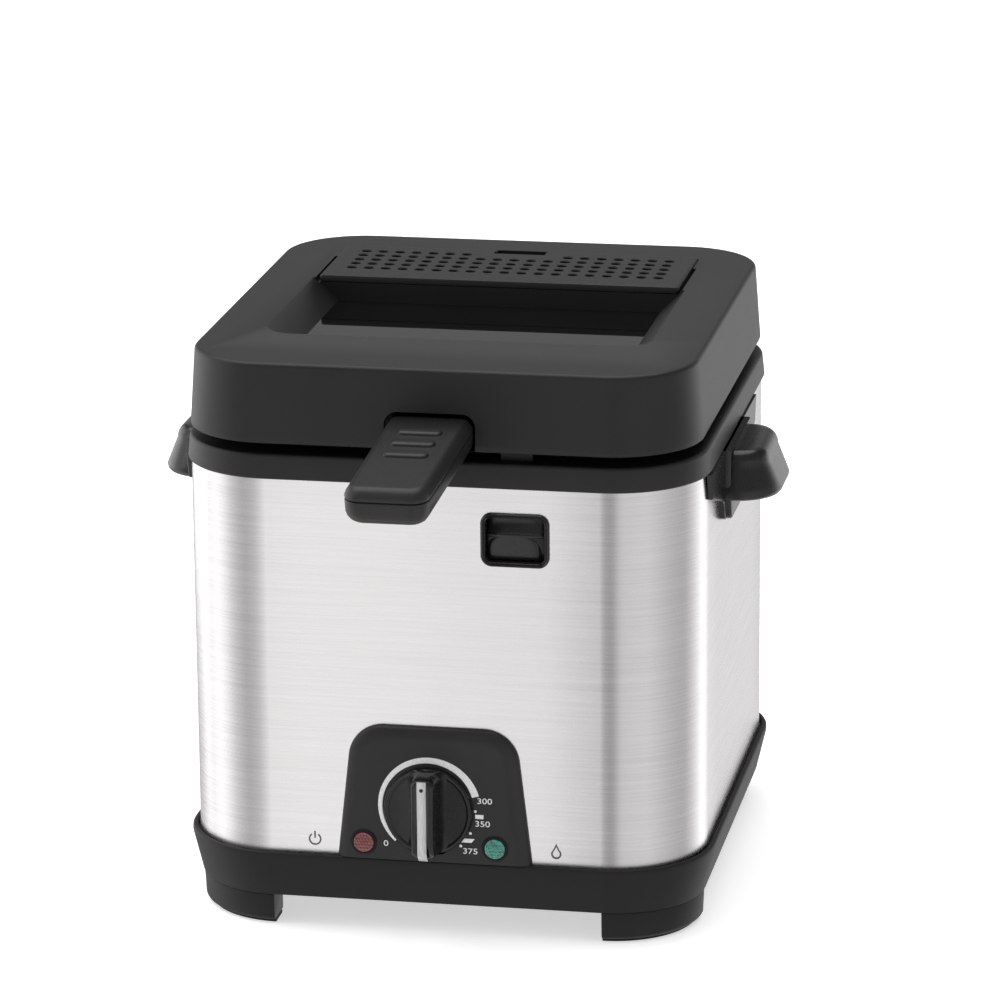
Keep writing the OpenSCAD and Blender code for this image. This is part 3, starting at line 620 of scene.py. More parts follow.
# The drop is printed as an outline: a round belly drawn up to a point, with the same shape made
# smaller cut out of its middle
DROP_R, DROP_IN = 2 * MM, 0.68
drop_mid = SIGN_Z - 0.5 * MM
drop_line = []
for k in range(25):
    a = math.radians(38 + 284 * k / 24)
    drop_line.append((SIGN_X + DROP_R * math.sin(a), SIGN_Z - 0.8 * MM + DROP_R * math.cos(a)))
drop_line.append((SIGN_X, SIGN_Z + 3.4 * MM))
inner_line = [(SIGN_X + (x - SIGN_X) * DROP_IN, drop_mid + (z - SIGN_Z + 0.5 * MM) * DROP_IN)
              for x, z in drop_line]
drop = bmesh.new()
rings = [[drop.verts.new((x, y, z)) for x, z in line] for line in (drop_line, inner_line)
         for y in sign_faces]
for one, two in [(0, 2), (1, 3), (0, 1), (2, 3)]:
    skin(drop, [rings[one], rings[two]], caps=False)
finish_piece(from_mesh("oil_drop_print", drop), GREY_INK, "body", "gloss_black_plastic")

# ---- Lamps -----------------------------------------------------------------------------------
# Two small neon lamps behind moulded lenses of red and green acrylic. Each lens is cut into rows
# of little pyramids, set in a shallow dark ring of the panel.


def lens_acrylic(name, deep, light):
    """Moulded coloured acrylic: clear and glossy, with deep colour in it and bright facet edges."""
    material, tree, shader = start_material(name, IOR=1.49, Roughness=0.12, Coat_Weight=0.6,
                                            Emission_Strength=0.12)
    colour = ramp(tree, noise(tree, 1.5 * MM, 3.0), [(0.35, deep), (0.65, light)])
    tree.links.new(colour, shader.inputs["Base Color"])
    tree.links.new(colour, shader.inputs["Emission Color"])
    return material


def circle(x, z, r, y, sides):
    """A loop of points round a face-on circle."""
    return [Vector((x + r * math.cos(2 * math.pi * k / sides), y, z + r * math.sin(2 * math.pi * k / sides)))
            for k in range(sides)]


def faceted_lens(name, x, z, radius, front_y, back_y):
    """A lens whose face is cut into rows of little pyramids, with a plain rim round them."""
    bm = bmesh.new()
    pitch, reach = 1.25 * MM, radius - 0.15 * MM
    half_cell, base_y, tip_y = pitch * 0.52, front_y + 0.75 * MM, front_y + 0.42 * MM
    cells = int(reach / pitch) + 1
    for i in range(-cells, cells + 1):
        for j in range(-cells, cells + 1):
            u, v = (i + (j % 2) / 2) * pitch, j * pitch
            if math.hypot(u, v) < reach - pitch * 0.25:
                turns = [math.radians(90 * q + 45) for q in range(4)]
                ring = [bm.verts.new((x + u + half_cell * math.cos(a), base_y,
                                      z + v + half_cell * math.sin(a))) for a in turns]
                tip = bm.verts.new((x + u, tip_y, z + v))
                bm.faces.new(ring)
                for q in range(4):
                    bm.faces.new((ring[q], ring[(q + 1) % 4], tip))
    skin(bm, [[bm.verts.new(p) for p in circle(x, z, r, y, 40)]
              for r, y in [(reach, base_y), (radius, front_y + 1.1 * MM), (radius, back_y)]])
    return from_mesh(name, bm, 10)


# The ring's section, as (out from the lens, in from the panel's face) in mm
RING_SECTION = [(0.05, 0.3), (0.05, -0.35), (0.5, -0.5), (1.1, -0.25), (1.3, 0.3)]
RING_BLACK = moulded_charcoal("matte_black_abs", "#050505", "#090909", 0.4, 0.6)
LENSES = {"lamp_red": (lens_acrylic("moulded_red_acrylic", "#4a0d12", "#6b1a1f"), "red_lens"),
          "lamp_green": (lens_acrylic("moulded_green_acrylic", "#0f5546", "#2f8674"), "green_lens")}
for name, (lens_material, lens_slot) in LENSES.items():
    lamp_low, lamp_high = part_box(name)
    mid_x, mid_z = (lamp_low.x + lamp_high.x) / 2, (lamp_low.z + lamp_high.z) / 2
    lamp_r = (lamp_high.x - lamp_low.x) / 2
    lens = faceted_lens(name + "_lens", mid_x, mid_z, lamp_r, lamp_low.y, lamp_high.y)
    finish_piece(lens, lens_material, "body", lens_slot, name)
    lamp_ring = loft(name + "_ring", [circle(mid_x, mid_z, lamp_r + out * MM, panel_low.y + y * MM, 48)
                                      for out, y in RING_SECTION], ring=True)
    finish_piece(lamp_ring, RING_BLACK, "body", "gloss_black_plastic")

# ---- Dial ------------------------------------------------------------------------------------
# The dial is moulded in polished black ABS: a disc with a wide grip bar across it. A satin silver
# strip is glued along the bar, bent over its lower end, with a dark index dot near its top.


def polished_black():
    """Black ABS from a polished mould: deep and glossy, with faint flow marks and handling haze."""
    material, tree, shader = start_material("polished_black_abs", IOR=1.52)
    vary(tree, shader, noise(tree, 18 * MM, 4.0, 1.0), [(0.35, "#0f0f10"), (0.65, "#161617")])
    vary(tree, shader, noise(tree, 1.2 * MM, 3.0), None, (0.3, 0.7, 0.22, 0.28), (0.06, 0.05 * MM))
    return material


BLACK = polished_black()
DIAL_R = (dial_high.x - dial_low.x) / 2
disc_y = panel_low.y - 0.5 * MM
face_y = disc_y - 2 * MM


def turned(name, profile, sides=72):
    """A form turned about the dial's axis from (radius, y) points, closed at both ends."""
    return loft(name, [circle(DIAL_X, DIAL_Z, r, y, sides) for r, y in profile])


shaft_r = 3 * MM
disc_back = [(DIAL_R - inset * MM, disc_y - depth * MM) for inset, depth in
             [(0.6, 0.0), (0.1, 0.3), (0.0, 0.8)]]
disc_face = [(DIAL_R - inset * MM, face_y + depth * MM) for inset, depth in
             [(0.15, 0.5), (0.5, 0.1), (1.0, 0.0), (1.5, 0.1), (2.2, 0.5), (4, 0.2)]]
disc = turned("dial_disc", [(shaft_r, disc_y + 8 * MM), (shaft_r, disc_y)] + disc_back + disc_face
              + [(8 * MM, face_y - 0.6 * MM), (shaft_r, face_y - 0.8 * MM)])
finish_piece(disc, BLACK, "dial", "gloss_black_plastic", "dial_knob")
bar_top, bar_half, bar_reach = dial_low.y, 4.4 * MM, DIAL_R - 0.4 * MM
ROLL, ROLL_FROM, ROLL_RUN = 3.2 * MM, 0.72, 0.28


def roll(z, reach):
    """How far the grip bar's lower end has rolled back towards the disc, at a height z."""
    return ROLL * max(0.0, (-z / reach - ROLL_FROM) / ROLL_RUN) ** 2


# Steps up the bar's side from the disc: wider, shorter and lower than its crest, in mm
bar_rows = [(3.2, 0.0, 12.0), (1.6, 0.0, 10.4), (0.8, 0.1, 8.0), (0.35, 0.3, 4.0), (0.1, 0.5, 1.6),
            (-0.15, 0.7, 0.7), (-0.6, 1.1, 0.2), (-1.1, 1.6, 0.0), (-1.7, 2.2, 0.0)]
loops = []
for widen, shorten, depth in bar_rows:
    half_w, half_l = bar_half + widen * MM, bar_reach - shorten * MM
    flat = rim(half_w, -half_l, half_l, 0, min(half_w - 0.2 * MM, 3 * MM), turn=8, straight=8)
    loops.append([Vector((DIAL_X + p.x, min(bar_top + depth * MM + roll(p.y, half_l), face_y + 0.4 * MM),
                          DIAL_Z + p.y)) for p in flat])
finish_piece(loft("dial_grip_bar", loops, angle=50), BLACK, "dial", "gloss_black_plastic")


def satin_silver():
    """Hot-stamped silver foil on ABS, satin with fine lengthwise lines, brighter where it is worn."""
    material, tree, shader = start_material("satin_silver_foil", Metallic=1.0)
    place = add(tree, "ShaderNodeTexCoord").outputs["Object"]
    across, along = 1 / (0.25 * MM), 1 / (6 * MM)
    lines = add(tree, "ShaderNodeMapping", {"Vector": place, "Scale": (across, across, along)})
    grain = add(tree, "ShaderNodeTexNoise", {"Vector": lines.outputs[0], "Scale": 1.0, "Detail": 3.0})
    vary(tree, shader, grain.outputs["Fac"], [(0.3, "#c4c4c6"), (0.7, "#efefef")], (0, 1, 0.25, 0.45))
    return material


inlay_w, foil_t = 1.75 * MM, 0.12 * MM
foil_section = [(-inlay_w, 0.5 * MM), (-inlay_w, 0.05 * MM), (-inlay_w + 0.2 * MM, 0),
                (inlay_w - 0.2 * MM, 0), (inlay_w, 0.05 * MM), (inlay_w, 0.5 * MM)]
strip = bmesh.new()
rows = []
for z in [DIAL_R * (0.93 - 1.89 * k / 24) for k in range(25)]:
    y = bar_top + roll(z, bar_reach) - foil_t
    rows.append([strip.verts.new((DIAL_X + x, y + dy, DIAL_Z + z)) for x, dy in foil_section])
skin(strip, rows)
finish_piece(from_mesh("dial_silver_strip", strip, 40), satin_silver(), "dial", "silver_inlay", "dial_inlay")
dot = turned("dial_index_dot", [(0.75 * MM, bar_top - 0.05 * MM), (0.75 * MM, bar_top - 0.2 * MM),
                                (0.55 * MM, bar_top - 0.26 * MM), (0.2 * MM, bar_top - 0.27 * MM)], 24)
dot.data.transform(Matrix.Translation((0, 0, DIAL_R - 4.5 * MM)))
finish_piece(dot, BLACK, "dial", "gloss_black_plastic")

# ---- Release button --------------------------------------------------------------------------
# A black frame snapped into the steel, with a raised lip round its opening. The button behind it
# has a deep scoop over a ridge for the thumb and a rounded tongue below it.

# Round the frame's section from its outer edge to inside the opening, as (inset, y) in mm
frame_section = [(1.4, 2.0), (0.6, 0.0), (0.1, -0.15), (0.0, -0.5), (0.2, -0.95), (0.6, -1.2),
                 (0.95, -0.95), (1.15, -0.8), (1.35, -0.95), (1.6, -1.15), (1.8, -1.0), (1.95, -0.5),
                 (2.05, 1.2), (2.1, 3.5)]
frame_loops = []
for inset, y in frame_section:
    flat = rim(bezel_w / 2 - inset * MM, -bezel_h / 2 + inset * MM, bezel_h / 2 - inset * MM, 0,
               max(4.3 - inset, 1.4) * MM, turn=12, straight=4)
    frame_loops.append([Vector((BUTTON_X + p.x, FRONT_Y + y * MM, BUTTON_Z + p.y)) for p in flat])
button_frame = loft("button_frame", frame_loops, ring=True, angle=50)
finish_piece(button_frame, BLACK, "body", "gloss_black_plastic", "button_bezel")
key_low, key_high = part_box("release_button")
# The moulded face is a little wider than the stem behind it, and nearly fills the frame
KEY_IN, KEY_OUT = 2.4 * MM, 1.5 * MM
key_w, key_h = bezel_w - 2 * KEY_IN, bezel_h - 2 * KEY_IN
key_left, key_foot, key_face = bezel_low.x + KEY_IN, bezel_low.z + KEY_IN, key_low.y - KEY_OUT
RIDGE = 0.62


def ease_in(t):
    """Runs smoothly from 0 to 1 as t does, and stays there on both sides."""
    t = min(max(t, 0.0), 1.0)
    return t * t * (3 - 2 * t)


def key_depth(u, v):
    """How far in the button's face lies, in mm, for u across from -1 to 1 and v up from 0 to 1.
    Above the ridge is the scoop for the thumb, and below it the tongue with its rounded shoulders."""
    side = abs(u) ** 6
    if v > RIDGE:
        return 0.3 + 2.6 * math.sin(math.pi / 2 * (v - RIDGE) / (1 - RIDGE)) ** 0.8 + 0.8 * side
    shoulder = (abs(u + 0.05) / 0.92) ** 3 + (v / (RIDGE - 0.02)) ** 4
    fall = ease_in((shoulder - 0.82) / 0.3)
    lower = 1.2 * (1 - v / RIDGE) ** 2.2
    return 0.3 + lower + 0.75 * fall * (1 - ease_in((v - 0.52) / 0.08)) + 0.35 * side


grid = bmesh.new()
CELLS = 48
front = [[grid.verts.new((key_left + key_w * i / CELLS,
                          key_face + key_depth(2 * i / CELLS - 1, j / CELLS) * MM,
                          key_foot + key_h * j / CELLS)) for i in range(CELLS + 1)] for j in range(CELLS + 1)]
for low, high in zip(front, front[1:]):
    for i in range(CELLS):
        grid.faces.new((low[i], low[i + 1], high[i + 1], high[i]))
edge_run = front[0] + [row[-1] for row in front[1:]] + front[-1][-2::-1] + [row[0] for row in front[-2:0:-1]]
back = [grid.verts.new((v.co.x, key_high.y, v.co.z)) for v in edge_run]
skin(grid, [edge_run, back], caps=False)
grid.faces.new(back)
key = from_mesh("release_button_key", grid, 40)
finish_piece(key, BLACK, "button", "gloss_black_plastic", "release_button")
finish_node(PLATED, "button_spring")

# ---- Carry handles ---------------------------------------------------------------------------
# Each side has a plate with a leg and two thin ears, screwed on under the collar, and a thicker
# boss on it. A solid grip of gloss black phenolic stands out from that. Its outer corners are
# broadly rounded, and its wall leans in to a rounded top.
GRIP_R, GRIP_IN = 17, 3 * MM
for side, s in (("left", -1), ("right", 1)):
    plate_low, plate_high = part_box(side + "_bracket")
    grip_low, grip_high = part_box(side + "_grip")
    wall, thick = s * wrap_high.x, (plate_high.x - plate_low.x) / MM
    mid_y, top = (plate_low.y + plate_high.y) / 2, plate_high.z
    half_ear, half_plate = (plate_high.y - plate_low.y) / 2, (grip_high.y - grip_low.y) / 2 - 1 * MM
    # Half of each outline from its top edge down, as (across, up), then mirrored
    outline = [(half_ear, 0), (half_ear - 3 * MM, -10.4 * MM), (half_plate + 4 * MM, -19 * MM),
               (half_plate + 0.6 * MM, -21 * MM), (half_plate - 2.6 * MM, -27.6 * MM),
               (half_plate - 4 * MM, -28.4 * MM)]
    boss_line = [(half_plate, 0), (half_plate, -20 * MM), (half_plate - 3 * MM, -27 * MM),
                 (half_plate - 4.4 * MM, -28 * MM)]
    outline += [(-y, z) for y, z in reversed(outline)]
    boss_line += [(-y, z) for y, z in reversed(boss_line)]
    plate = bmesh.new()
    skin(plate, [[plate.verts.new((wall + s * x * MM, mid_y + y * (1 - shrink * MM / half_ear),
                                   top + z + (0 if z == 0 else shrink * MM))) for y, z in outline]
                 for x, shrink in [(0, 0), (1.5, 0), (2.0, 0.5)]])
    skin(plate, [[plate.verts.new((wall + s * x * MM, mid_y + y - math.copysign(shrink * MM, y),
                                   top + z + (0 if z == 0 else shrink * MM))) for y, z in boss_line]
                 for x, shrink in [(1.0, 0), (thick - 1.2, 0), (thick - 0.4, 0.4), (thick, 1.2)]])
    bracket = from_mesh(side + "_bracket_plate", plate)
    finish_piece(bracket, BLACK, "body", "gloss_black_plastic", side + "_bracket")
    near = grip_low.x - GRIP_IN if s > 0 else grip_high.x + GRIP_IN
    reach = grip_high.x - grip_low.x + GRIP_IN
    grip_foot = grip_low.z + 1.3 * MM
    height = (grip_high.z - grip_foot) / MM
    # Rows up the grip's wall, as (drawn in, height) in mm: eased foot, leaning wall, rounded top
    lean, round_h = 4.6, 5.2
    rows = [(4.5, 0.0), (2.4, 0.0), (1.2, 0.35), (0.35, 1.2), (0.0, 2.4)]
    rows += [(lean * k / 5, 2.4 + (height - 7.6) * k / 5) for k in range(1, 6)]
    rows += [(lean + lean * (1 - math.cos(a)), height - round_h + round_h * math.sin(a))
             for a in [math.radians(15 * k) for k in range(1, 7)]] + [(12.0, height)]
    loops = []
    for inset, z in rows:
        half_len, r = (grip_high.y - grip_low.y) / 2 - inset * MM * 0.8, max(GRIP_R - inset * 1.1, 5) * MM
        corner = [(reach - inset * MM - r + r * math.cos(b), -half_len + r + r * math.sin(b))
                  for b in [math.radians(-90 + 90 * k / 14) for k in range(15)]]
        loop = [(0, -half_len)] + corner + [(x, -y) for x, y in reversed(corner)] + [(0, half_len)]
        loops.append([Vector((near + s * x, mid_y + y, grip_foot + z * MM)) for x, y in loop])
    grip = loft(side + "_grip_moulding", loops, angle=35)
    finish_piece(grip, BLACK, "body", "gloss_black_plastic", side + "_grip")

# ---- Hinge and cord gland --------------------------------------------------------------------
# The hinge bracket is moulded in charcoal and screwed to the back of the body. Its two ears hold a
# steel pin, which the lid's own knuckle turns on. The gland is for the mains lead.
finish_node(CHARCOAL, "hinge_bracket", "lid_hinge", "lid_catch")
finish_node(BLACK, "cord_gland")

# ---- Lid -------------------------------------------------------------------------------------
# The lid is one charcoal moulding with a fine grain, about 2.6 mm thick. It has a window recess
# with sloped sides, a well for the filter behind it, and a notch in front for the basket's handle.
LID_CHARCOAL = moulded_charcoal("fine_grained_charcoal_polypropylene", "#1a191a", "#1f1d1e", 0.4, 0.46)
lid_low, lid_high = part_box("lid_shell")
cover_low, cover_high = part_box("filter_cover")
glass_low, glass_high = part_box("window_glass")
LID_TOP = cover_high.z - 1 * MM
LID_R, LID_DRAFT, WALL = 34 * MM, 2.2 * MM, 2.6 * MM
lid_half_d = (lid_high.y - lid_low.y) / 2
lid_mid_y = (lid_high.y + lid_low.y) / 2
lid_core = (lid_high.x - LID_R, lid_half_d - LID_R)
lid_h = LID_TOP - lid_low.z


def lid_rim(z, inset=0.0):
    """A level loop round the lid's outer wall at a height, drawn in by an inset."""
    out = LID_R - LID_DRAFT * (z - lid_low.z) / lid_h - inset
    return rim(lid_core[0] + out, lid_mid_y - lid_core[1] - out, lid_mid_y + lid_core[1] + out, z, out,
               turn=24)


top_edge = 1.7 * MM
outer = [lid_rim(lid_low.z, 1.2 * MM), lid_rim(lid_low.z, 0.7 * MM), lid_rim(lid_low.z + 0.25 * MM, 0.2 * MM),
         lid_rim(lid_low.z + 0.8 * MM), lid_rim(lid_low.z + 3 * MM), lid_rim(LID_TOP - top_edge - 2 * MM)]
for k in range(9):
    a = math.radians(90 * k / 8)
    outer.append(lid_rim(LID_TOP - top_edge * (1 - math.sin(a)), top_edge * (1 - math.cos(a))))
outer.append(lid_rim(LID_TOP, top_edge + 0.8 * MM))
shell = loft("lid_shell_moulding", outer)
hollow = loft("lid_hollow", [lid_rim(lid_low.z - 1 * MM, WALL), lid_rim(LID_TOP - WALL - 3 * MM, WALL),
                             lid_rim(LID_TOP - WALL, WALL + 3 * MM)])
# The recess's floor is carried down inside the hollow, as a frame for the glass and the filter
slope, opening_r = 10 * MM, 12 * MM
open_half, open_back = 75 * MM, cover_low.y
open_front = glass_low.y - slope + 2.9 * MM
inner_half = glass_high.x
frame_block = block((-open_half, open_front + 2 * MM, glass_low.z - WALL),
                    (open_half, cover_high.y + 7 * MM, LID_TOP))
carve(hollow, from_mesh("frame_block", frame_block))
carve(shell, hollow)


def recess(inset, z):
    """A loop round the window recess, square at the back, where the filter's cover closes it."""
    return rim(open_half - inset, open_front + inset, open_back, z, max(opening_r - inset * 0.9, 2 * MM),
               0.4 * MM, turn=12)


lip = 0.7 * MM
carve(shell, loft("recess_cut", [
    recess(slope - 0.2 * MM, glass_high.z - 0.01 * MM), recess(lip * 0.5, LID_TOP - lip),
    recess(lip * 0.1, LID_TOP - lip * 0.35), recess(-lip * 0.7, LID_TOP + 0.01 * MM),
    recess(-lip * 0.7, LID_TOP + 2 * MM)], angle=5))
# Heights clear below and above the lid, where cuts start and end
BELOW, ABOVE = lid_low.z - 5 * MM, LID_TOP + 3 * MM
NAIL_HALF, GROOVE_W = 10.5 * MM, 1.7 * MM
through = block((-inner_half + 3 * MM, glass_low.y + 3 * MM, BELOW),
                (inner_half - 3 * MM, open_back - 0.01 * MM, glass_high.z + 1 * MM))
seat = block((glass_low.x - 0.1 * MM, glass_low.y - 0.1 * MM, BELOW),
             (glass_high.x + 0.1 * MM, open_back + 3.1 * MM, glass_high.z - 0.02 * MM))
well = block((cover_low.x - 0.35 * MM, open_back - 0.02 * MM, cover_low.z - 0.3 * MM),
             (cover_high.x + 0.35 * MM, cover_high.y + 0.35 * MM, ABOVE))
vent = block((cover_low.x + 5 * MM, open_back + 5 * MM, BELOW),
             (cover_high.x - 5 * MM, cover_high.y - 5 * MM, LID_TOP))
grooves = [block((x, open_back - 0.03 * MM, LID_TOP - 2.5 * MM), (x + GROOVE_W, open_back + 37 * MM, ABOVE))
           for x in (-cover_high.x - GROOVE_W, cover_high.x)]
finger = block((-NAIL_HALF, cover_high.y - 1 * MM, LID_TOP - 4 * MM),
               (NAIL_HALF, cover_high.y + 4.2 * MM, ABOVE))
for number, cut in enumerate([through, seat, well, vent] + grooves + [finger]):
    carve(shell, from_mesh("lid_cut_%d" % number, cut))
handle_low, handle_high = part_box("handle_upper")
NOTCH_HALF, NOTCH_R = 17.4 * MM, 5 * MM
notch_top = handle_high.z + 1.55 * MM
arch = [(-NOTCH_HALF, lid_low.z - 5 * MM), (NOTCH_HALF, lid_low.z - 5 * MM)]
arch += [(NOTCH_HALF - NOTCH_R + NOTCH_R * math.cos(a), notch_top - NOTCH_R + NOTCH_R * math.sin(a))
         for a in [math.radians(90 * k / 8) for k in range(9)]]
arch += [(-x, z) for x, z in reversed(arch[2:])]
carve(shell, from_mesh("notch_cut", flat_shape(arch, lid_low.y - 8 * MM, lid_low.y + 30 * MM)))
finish_piece(shell, LID_CHARCOAL, "lid", "charcoal_plastic", "lid_shell")
# A rib stands down from the lid's roof to the seal, broken by the window's frame and the notch
seal_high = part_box("lid_gasket")[1]
rib = [(bowl_out + out * MM, z) for out, z in [(1, seal_high.z), (3.5, seal_high.z), (3.5, LID_TOP - 2 * MM),
                                               (1, LID_TOP - 2 * MM)]]
rib_mesh = loft("lid_seal_rib", [body_rim(out, z) for out, z in rib], ring=True)
window_cut = block((-open_half - 1 * MM, open_front - 1 * MM, BELOW),
                   (open_half + 1 * MM, cover_high.y + 8 * MM, LID_TOP + 5 * MM))
notch_cut = block((-NOTCH_HALF, lid_low.y - 5 * MM, BELOW), (NOTCH_HALF, lid_low.y + 40 * MM, notch_top))
carve(rib_mesh, from_mesh("rib_window_cut", window_cut), from_mesh("rib_notch_cut", notch_cut))
finish_piece(rib_mesh, LID_CHARCOAL, "lid", "charcoal_plastic")
finish_node(RUBBER, "lid_gasket")

# ---- Window glass ----------------------------------------------------------------------------
# A flat pane of toughened glass, 3 mm thick with ground edges, clipped under the recess's frame.
# It looks dark: its colour is near-black and lets only a quarter of the light through, as painted
# shade for the closed, unlit steam side behind it.


def toughened_glass():
    """Toughened soda-lime glass, coloured near-black as painted shade: mirror smooth, with the faint waves of
    rolling.
    """
    return patterned("toughened_glass_painted_dark", 45 * MM, 2.0, [(0.3, "#121213"), (0.7, "#161617")],
                     bump=(0.1, 0.3 * MM), IOR=1.52, Roughness=0.02, Transmission_Weight=0.25)


GROUND = 0.5 * MM
pane = loft("window_glass_pane", [
    rim(glass_high.x - inset, glass_low.y + inset, glass_high.y - inset, z, 3 * MM, turn=6)
    for inset, z in [(GROUND, glass_low.z), (0.0, glass_low.z + GROUND), (0.0, glass_high.z - GROUND),
                     (GROUND, glass_high.z)]], angle=20)
finish_piece(pane, toughened_glass(), "lid", "window_glass", "window_glass")

# ---- Filter ----------------------------------------------------------------------------------
# The cover lifts out of its well with the carbon felt and its wire mesh under it. Rows of round
# holes, 4.2 mm across, let the steam out. The last row leaves room for a fingertip.
HOLE_R, PITCH_X, PITCH_Y = 2.1 * MM, 6.93 * MM, 7.2 * MM
ROWS, HALF_COLS, FIRST_ROW = 5, 9, cover_low.y + 15 * MM
cover = loft("filter_cover_plate", [
    rim(cover_high.x - inset * MM, cover_low.y + inset * MM, cover_high.y - inset * MM, z, 1.2 * MM,
        turn=5, straight=3)
    for inset, z in [(0.0, cover_low.z), (0.0, cover_high.z - 0.7 * MM), (0.2, cover_high.z - 0.2 * MM),
                     (0.7, cover_high.z), (1.2, cover_high.z)]])
# Each hole is a little wider at the very top, which rounds its edge
hole_rows = [(HOLE_R, cover_low.z - 2 * MM), (HOLE_R, cover_high.z - 0.35 * MM),
             (HOLE_R + 0.3 * MM, cover_high.z + 0.05 * MM), (HOLE_R + 0.3 * MM, cover_high.z + 1 * MM)]
hole_turns = [2 * math.pi * k / 24 for k in range(24)]
holes = bmesh.new()
for row in range(ROWS):
    for col in range(-HALF_COLS, HALF_COLS + 1):
        if row < ROWS - 1 or abs(col) >= 3:
            x, y = col * PITCH_X, FIRST_ROW + row * PITCH_Y
            skin(holes, [[holes.verts.new((x + r * math.cos(a), y + r * math.sin(a), z)) for a in hole_turns]
                         for r, z in hole_rows])
finger_notch = block((-NAIL_HALF, cover_high.y - 6 * MM, cover_low.z - 1 * MM),
                     (NAIL_HALF, cover_high.y + 1 * MM, cover_high.z + 1 * MM))
carve(cover, from_mesh("vent_holes", holes), from_mesh("finger_notch", finger_notch))
finish_piece(cover, LID_CHARCOAL, "filter_cassette", "charcoal_plastic", "filter_cover")


def carbon_felt():
    """Needled felt loaded with charcoal: black, dull and fibrous. Fibres are drawn 0.5 mm thick."""
    return patterned("carbon_felt", 0.5 * MM, 4.0, [(0.3, "#0d0d0d"), (0.7, "#242424")], None,
                     (0.8, 0.4 * MM), 2.0, IOR=1.45, Roughness=0.95, Sheen_Weight=0.3)


finish_node(carbon_felt(), "filter_pad")


def woven_wire():
    """Stainless wire cloth under the felt: fine crossed wires 1.2 mm apart, drawn in colour, with a
    painted highlight along each wire's crest and painted shade, near-black, between the wires.
    """
    material, tree, shader = start_material("woven_stainless_wire_cloth", Metallic=1.0, Roughness=0.35)
    place = add(tree, "ShaderNodeTexCoord").outputs["Object"]
    # A wave pattern at scale 1 repeats every 0.314 m
    warp, weft = [add(tree, "ShaderNodeTexWave", {"Vector": place, "Scale": 0.314 / (1.2 * MM)},
                      bands_direction=axis).outputs["Fac"] for axis in "XY"]
    # The ramp below paints the shading of round wires: near-black between them, bright on their crests
    crown_highlight = add(tree, "ShaderNodeMath", {0: warp, 1: weft}, operation="MAXIMUM").outputs[0]
    vary(tree, shader, crown_highlight, [(0.5, "#1c1c1d"), (0.85, "#b9babc")], None, (0.8, 0.4 * MM))
    return material


finish_node(woven_wire(), "filter_mesh")

# ---- Basket ----------------------------------------------------------------------------------
# The basket is welded from bright nickel-plated wire: a grid floor, upright wires bent out of it,
# two level hoops and a heavy rim. A flat steel strap from the rim carries the handle.
basket_low, basket_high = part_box("basket")
WIRE, RIM_WIRE = 0.75 * MM, 1.3 * MM
basket_half = (basket_high.x - RIM_WIRE, (basket_high.y - basket_low.y) / 2 - RIM_WIRE)
basket_mid = (basket_high.y + basket_low.y) / 2


def wires(name, runs):
    """Welded wires as one mesh, from (points, radius, closed) runs."""
    pieces = []
    for radius in sorted({run[1] for run in runs}):
        curve = bpy.data.curves.new(name, "CURVE")
        curve.dimensions, curve.bevel_depth, curve.bevel_resolution = "3D", radius, 2
        curve.use_fill_caps = True
        for points, size, closed in runs:
            if size != radius:
                continue
            line = curve.splines.new("POLY")
            line.points.add(len(points) - 1)
            line.use_cyclic_u = closed
            for place, p in zip(line.points, points):
                place.co = (*p, 1)
        made = bpy.data.objects.new(name, curve)
        bpy.context.scene.collection.objects.link(made)
        graph = bpy.context.evaluated_depsgraph_get()
        bm = bmesh.new()
        mesh = bpy.data.meshes.new_from_object(made.evaluated_get(graph))
        bm.from_mesh(mesh)
        bpy.data.objects.remove(made)
        bpy.data.meshes.remove(mesh)
        pieces.append(bm)
    return join(name, pieces, 60)


def hoop(inset, z):
    """A level hoop inside the basket's upright wires, or on their line when the inset is 0."""
    return rim(basket_half[0] - inset, basket_mid - basket_half[1] + inset,
               basket_mid + basket_half[1] - inset, z, basket_high.x - CORE[0] - inset, turn=8, straight=4)


turn_r, pitch, floor_z = 10 * MM, 8.5 * MM, basket_low.z + WIRE
rim_z = basket_high.z - RIM_WIRE
HOOP_IN = 1.9 * MM
runs = [(hoop(0, rim_z), RIM_WIRE, True), (hoop(HOOP_IN, basket_low.z + 60 * MM), WIRE, True),
        (hoop(HOOP_IN, basket_low.z + 28 * MM), WIRE, True)]
for axis in (0, 1):
    half_run, half_other = basket_half[axis] - 0.4 * MM, basket_half[1 - axis]
    count = int((half_other - 9 * MM) / pitch)
    # The second set of wires lies across the first
    lift = WIRE * 1.6 * axis
    bend = [(half_run - turn_r + turn_r * math.sin(a), floor_z + turn_r * (1 - math.cos(a)))
            for a in [math.radians(15 * i) for i in range(7)]]
    side_line = bend + [(half_run, rim_z)]
    section = [(-u, z) for u, z in reversed(side_line)] + side_line
    for offset in [k * pitch for k in range(-count, count + 1)]:
        points = [Vector((u, basket_mid + offset, z + lift)) if axis == 0 else
                  Vector((offset, basket_mid + u, z + lift)) for u, z in section]
        runs.append((points, WIRE, False))


def nickel_wire():
    """Nickel-plated steel wire: bright, with a little waviness left by straightening and welding."""
    return patterned("bright_nickel_plated_wire", 4 * MM, 4.0, [(0.3, "#b8b4ad"), (0.7, "#dcd9d3")],
                     (0, 1, 0.12, 0.3), Metallic=1.0)


NICKEL = nickel_wire()
finish_piece(wires("basket_wirework", runs), NICKEL, "basket", "bright_steel", "basket")
finish_node(NICKEL, "basket_strap")

# ---- Basket handle ---------------------------------------------------------------------------
# Two charcoal mouldings screwed together over the strap, with a fine seam all round. The upper
# half has a flat top with three raised bars for the thumb, and wide sloped sides.
TILT = math.radians(3)
ROOT_Y, ROOT_IN = lid_low.y, 4 * MM
HANDLE_HALF, TAPER = 16.5 * MM, 0.05
BAR_START, BAR_H = 18 * MM, 1.2 * MM
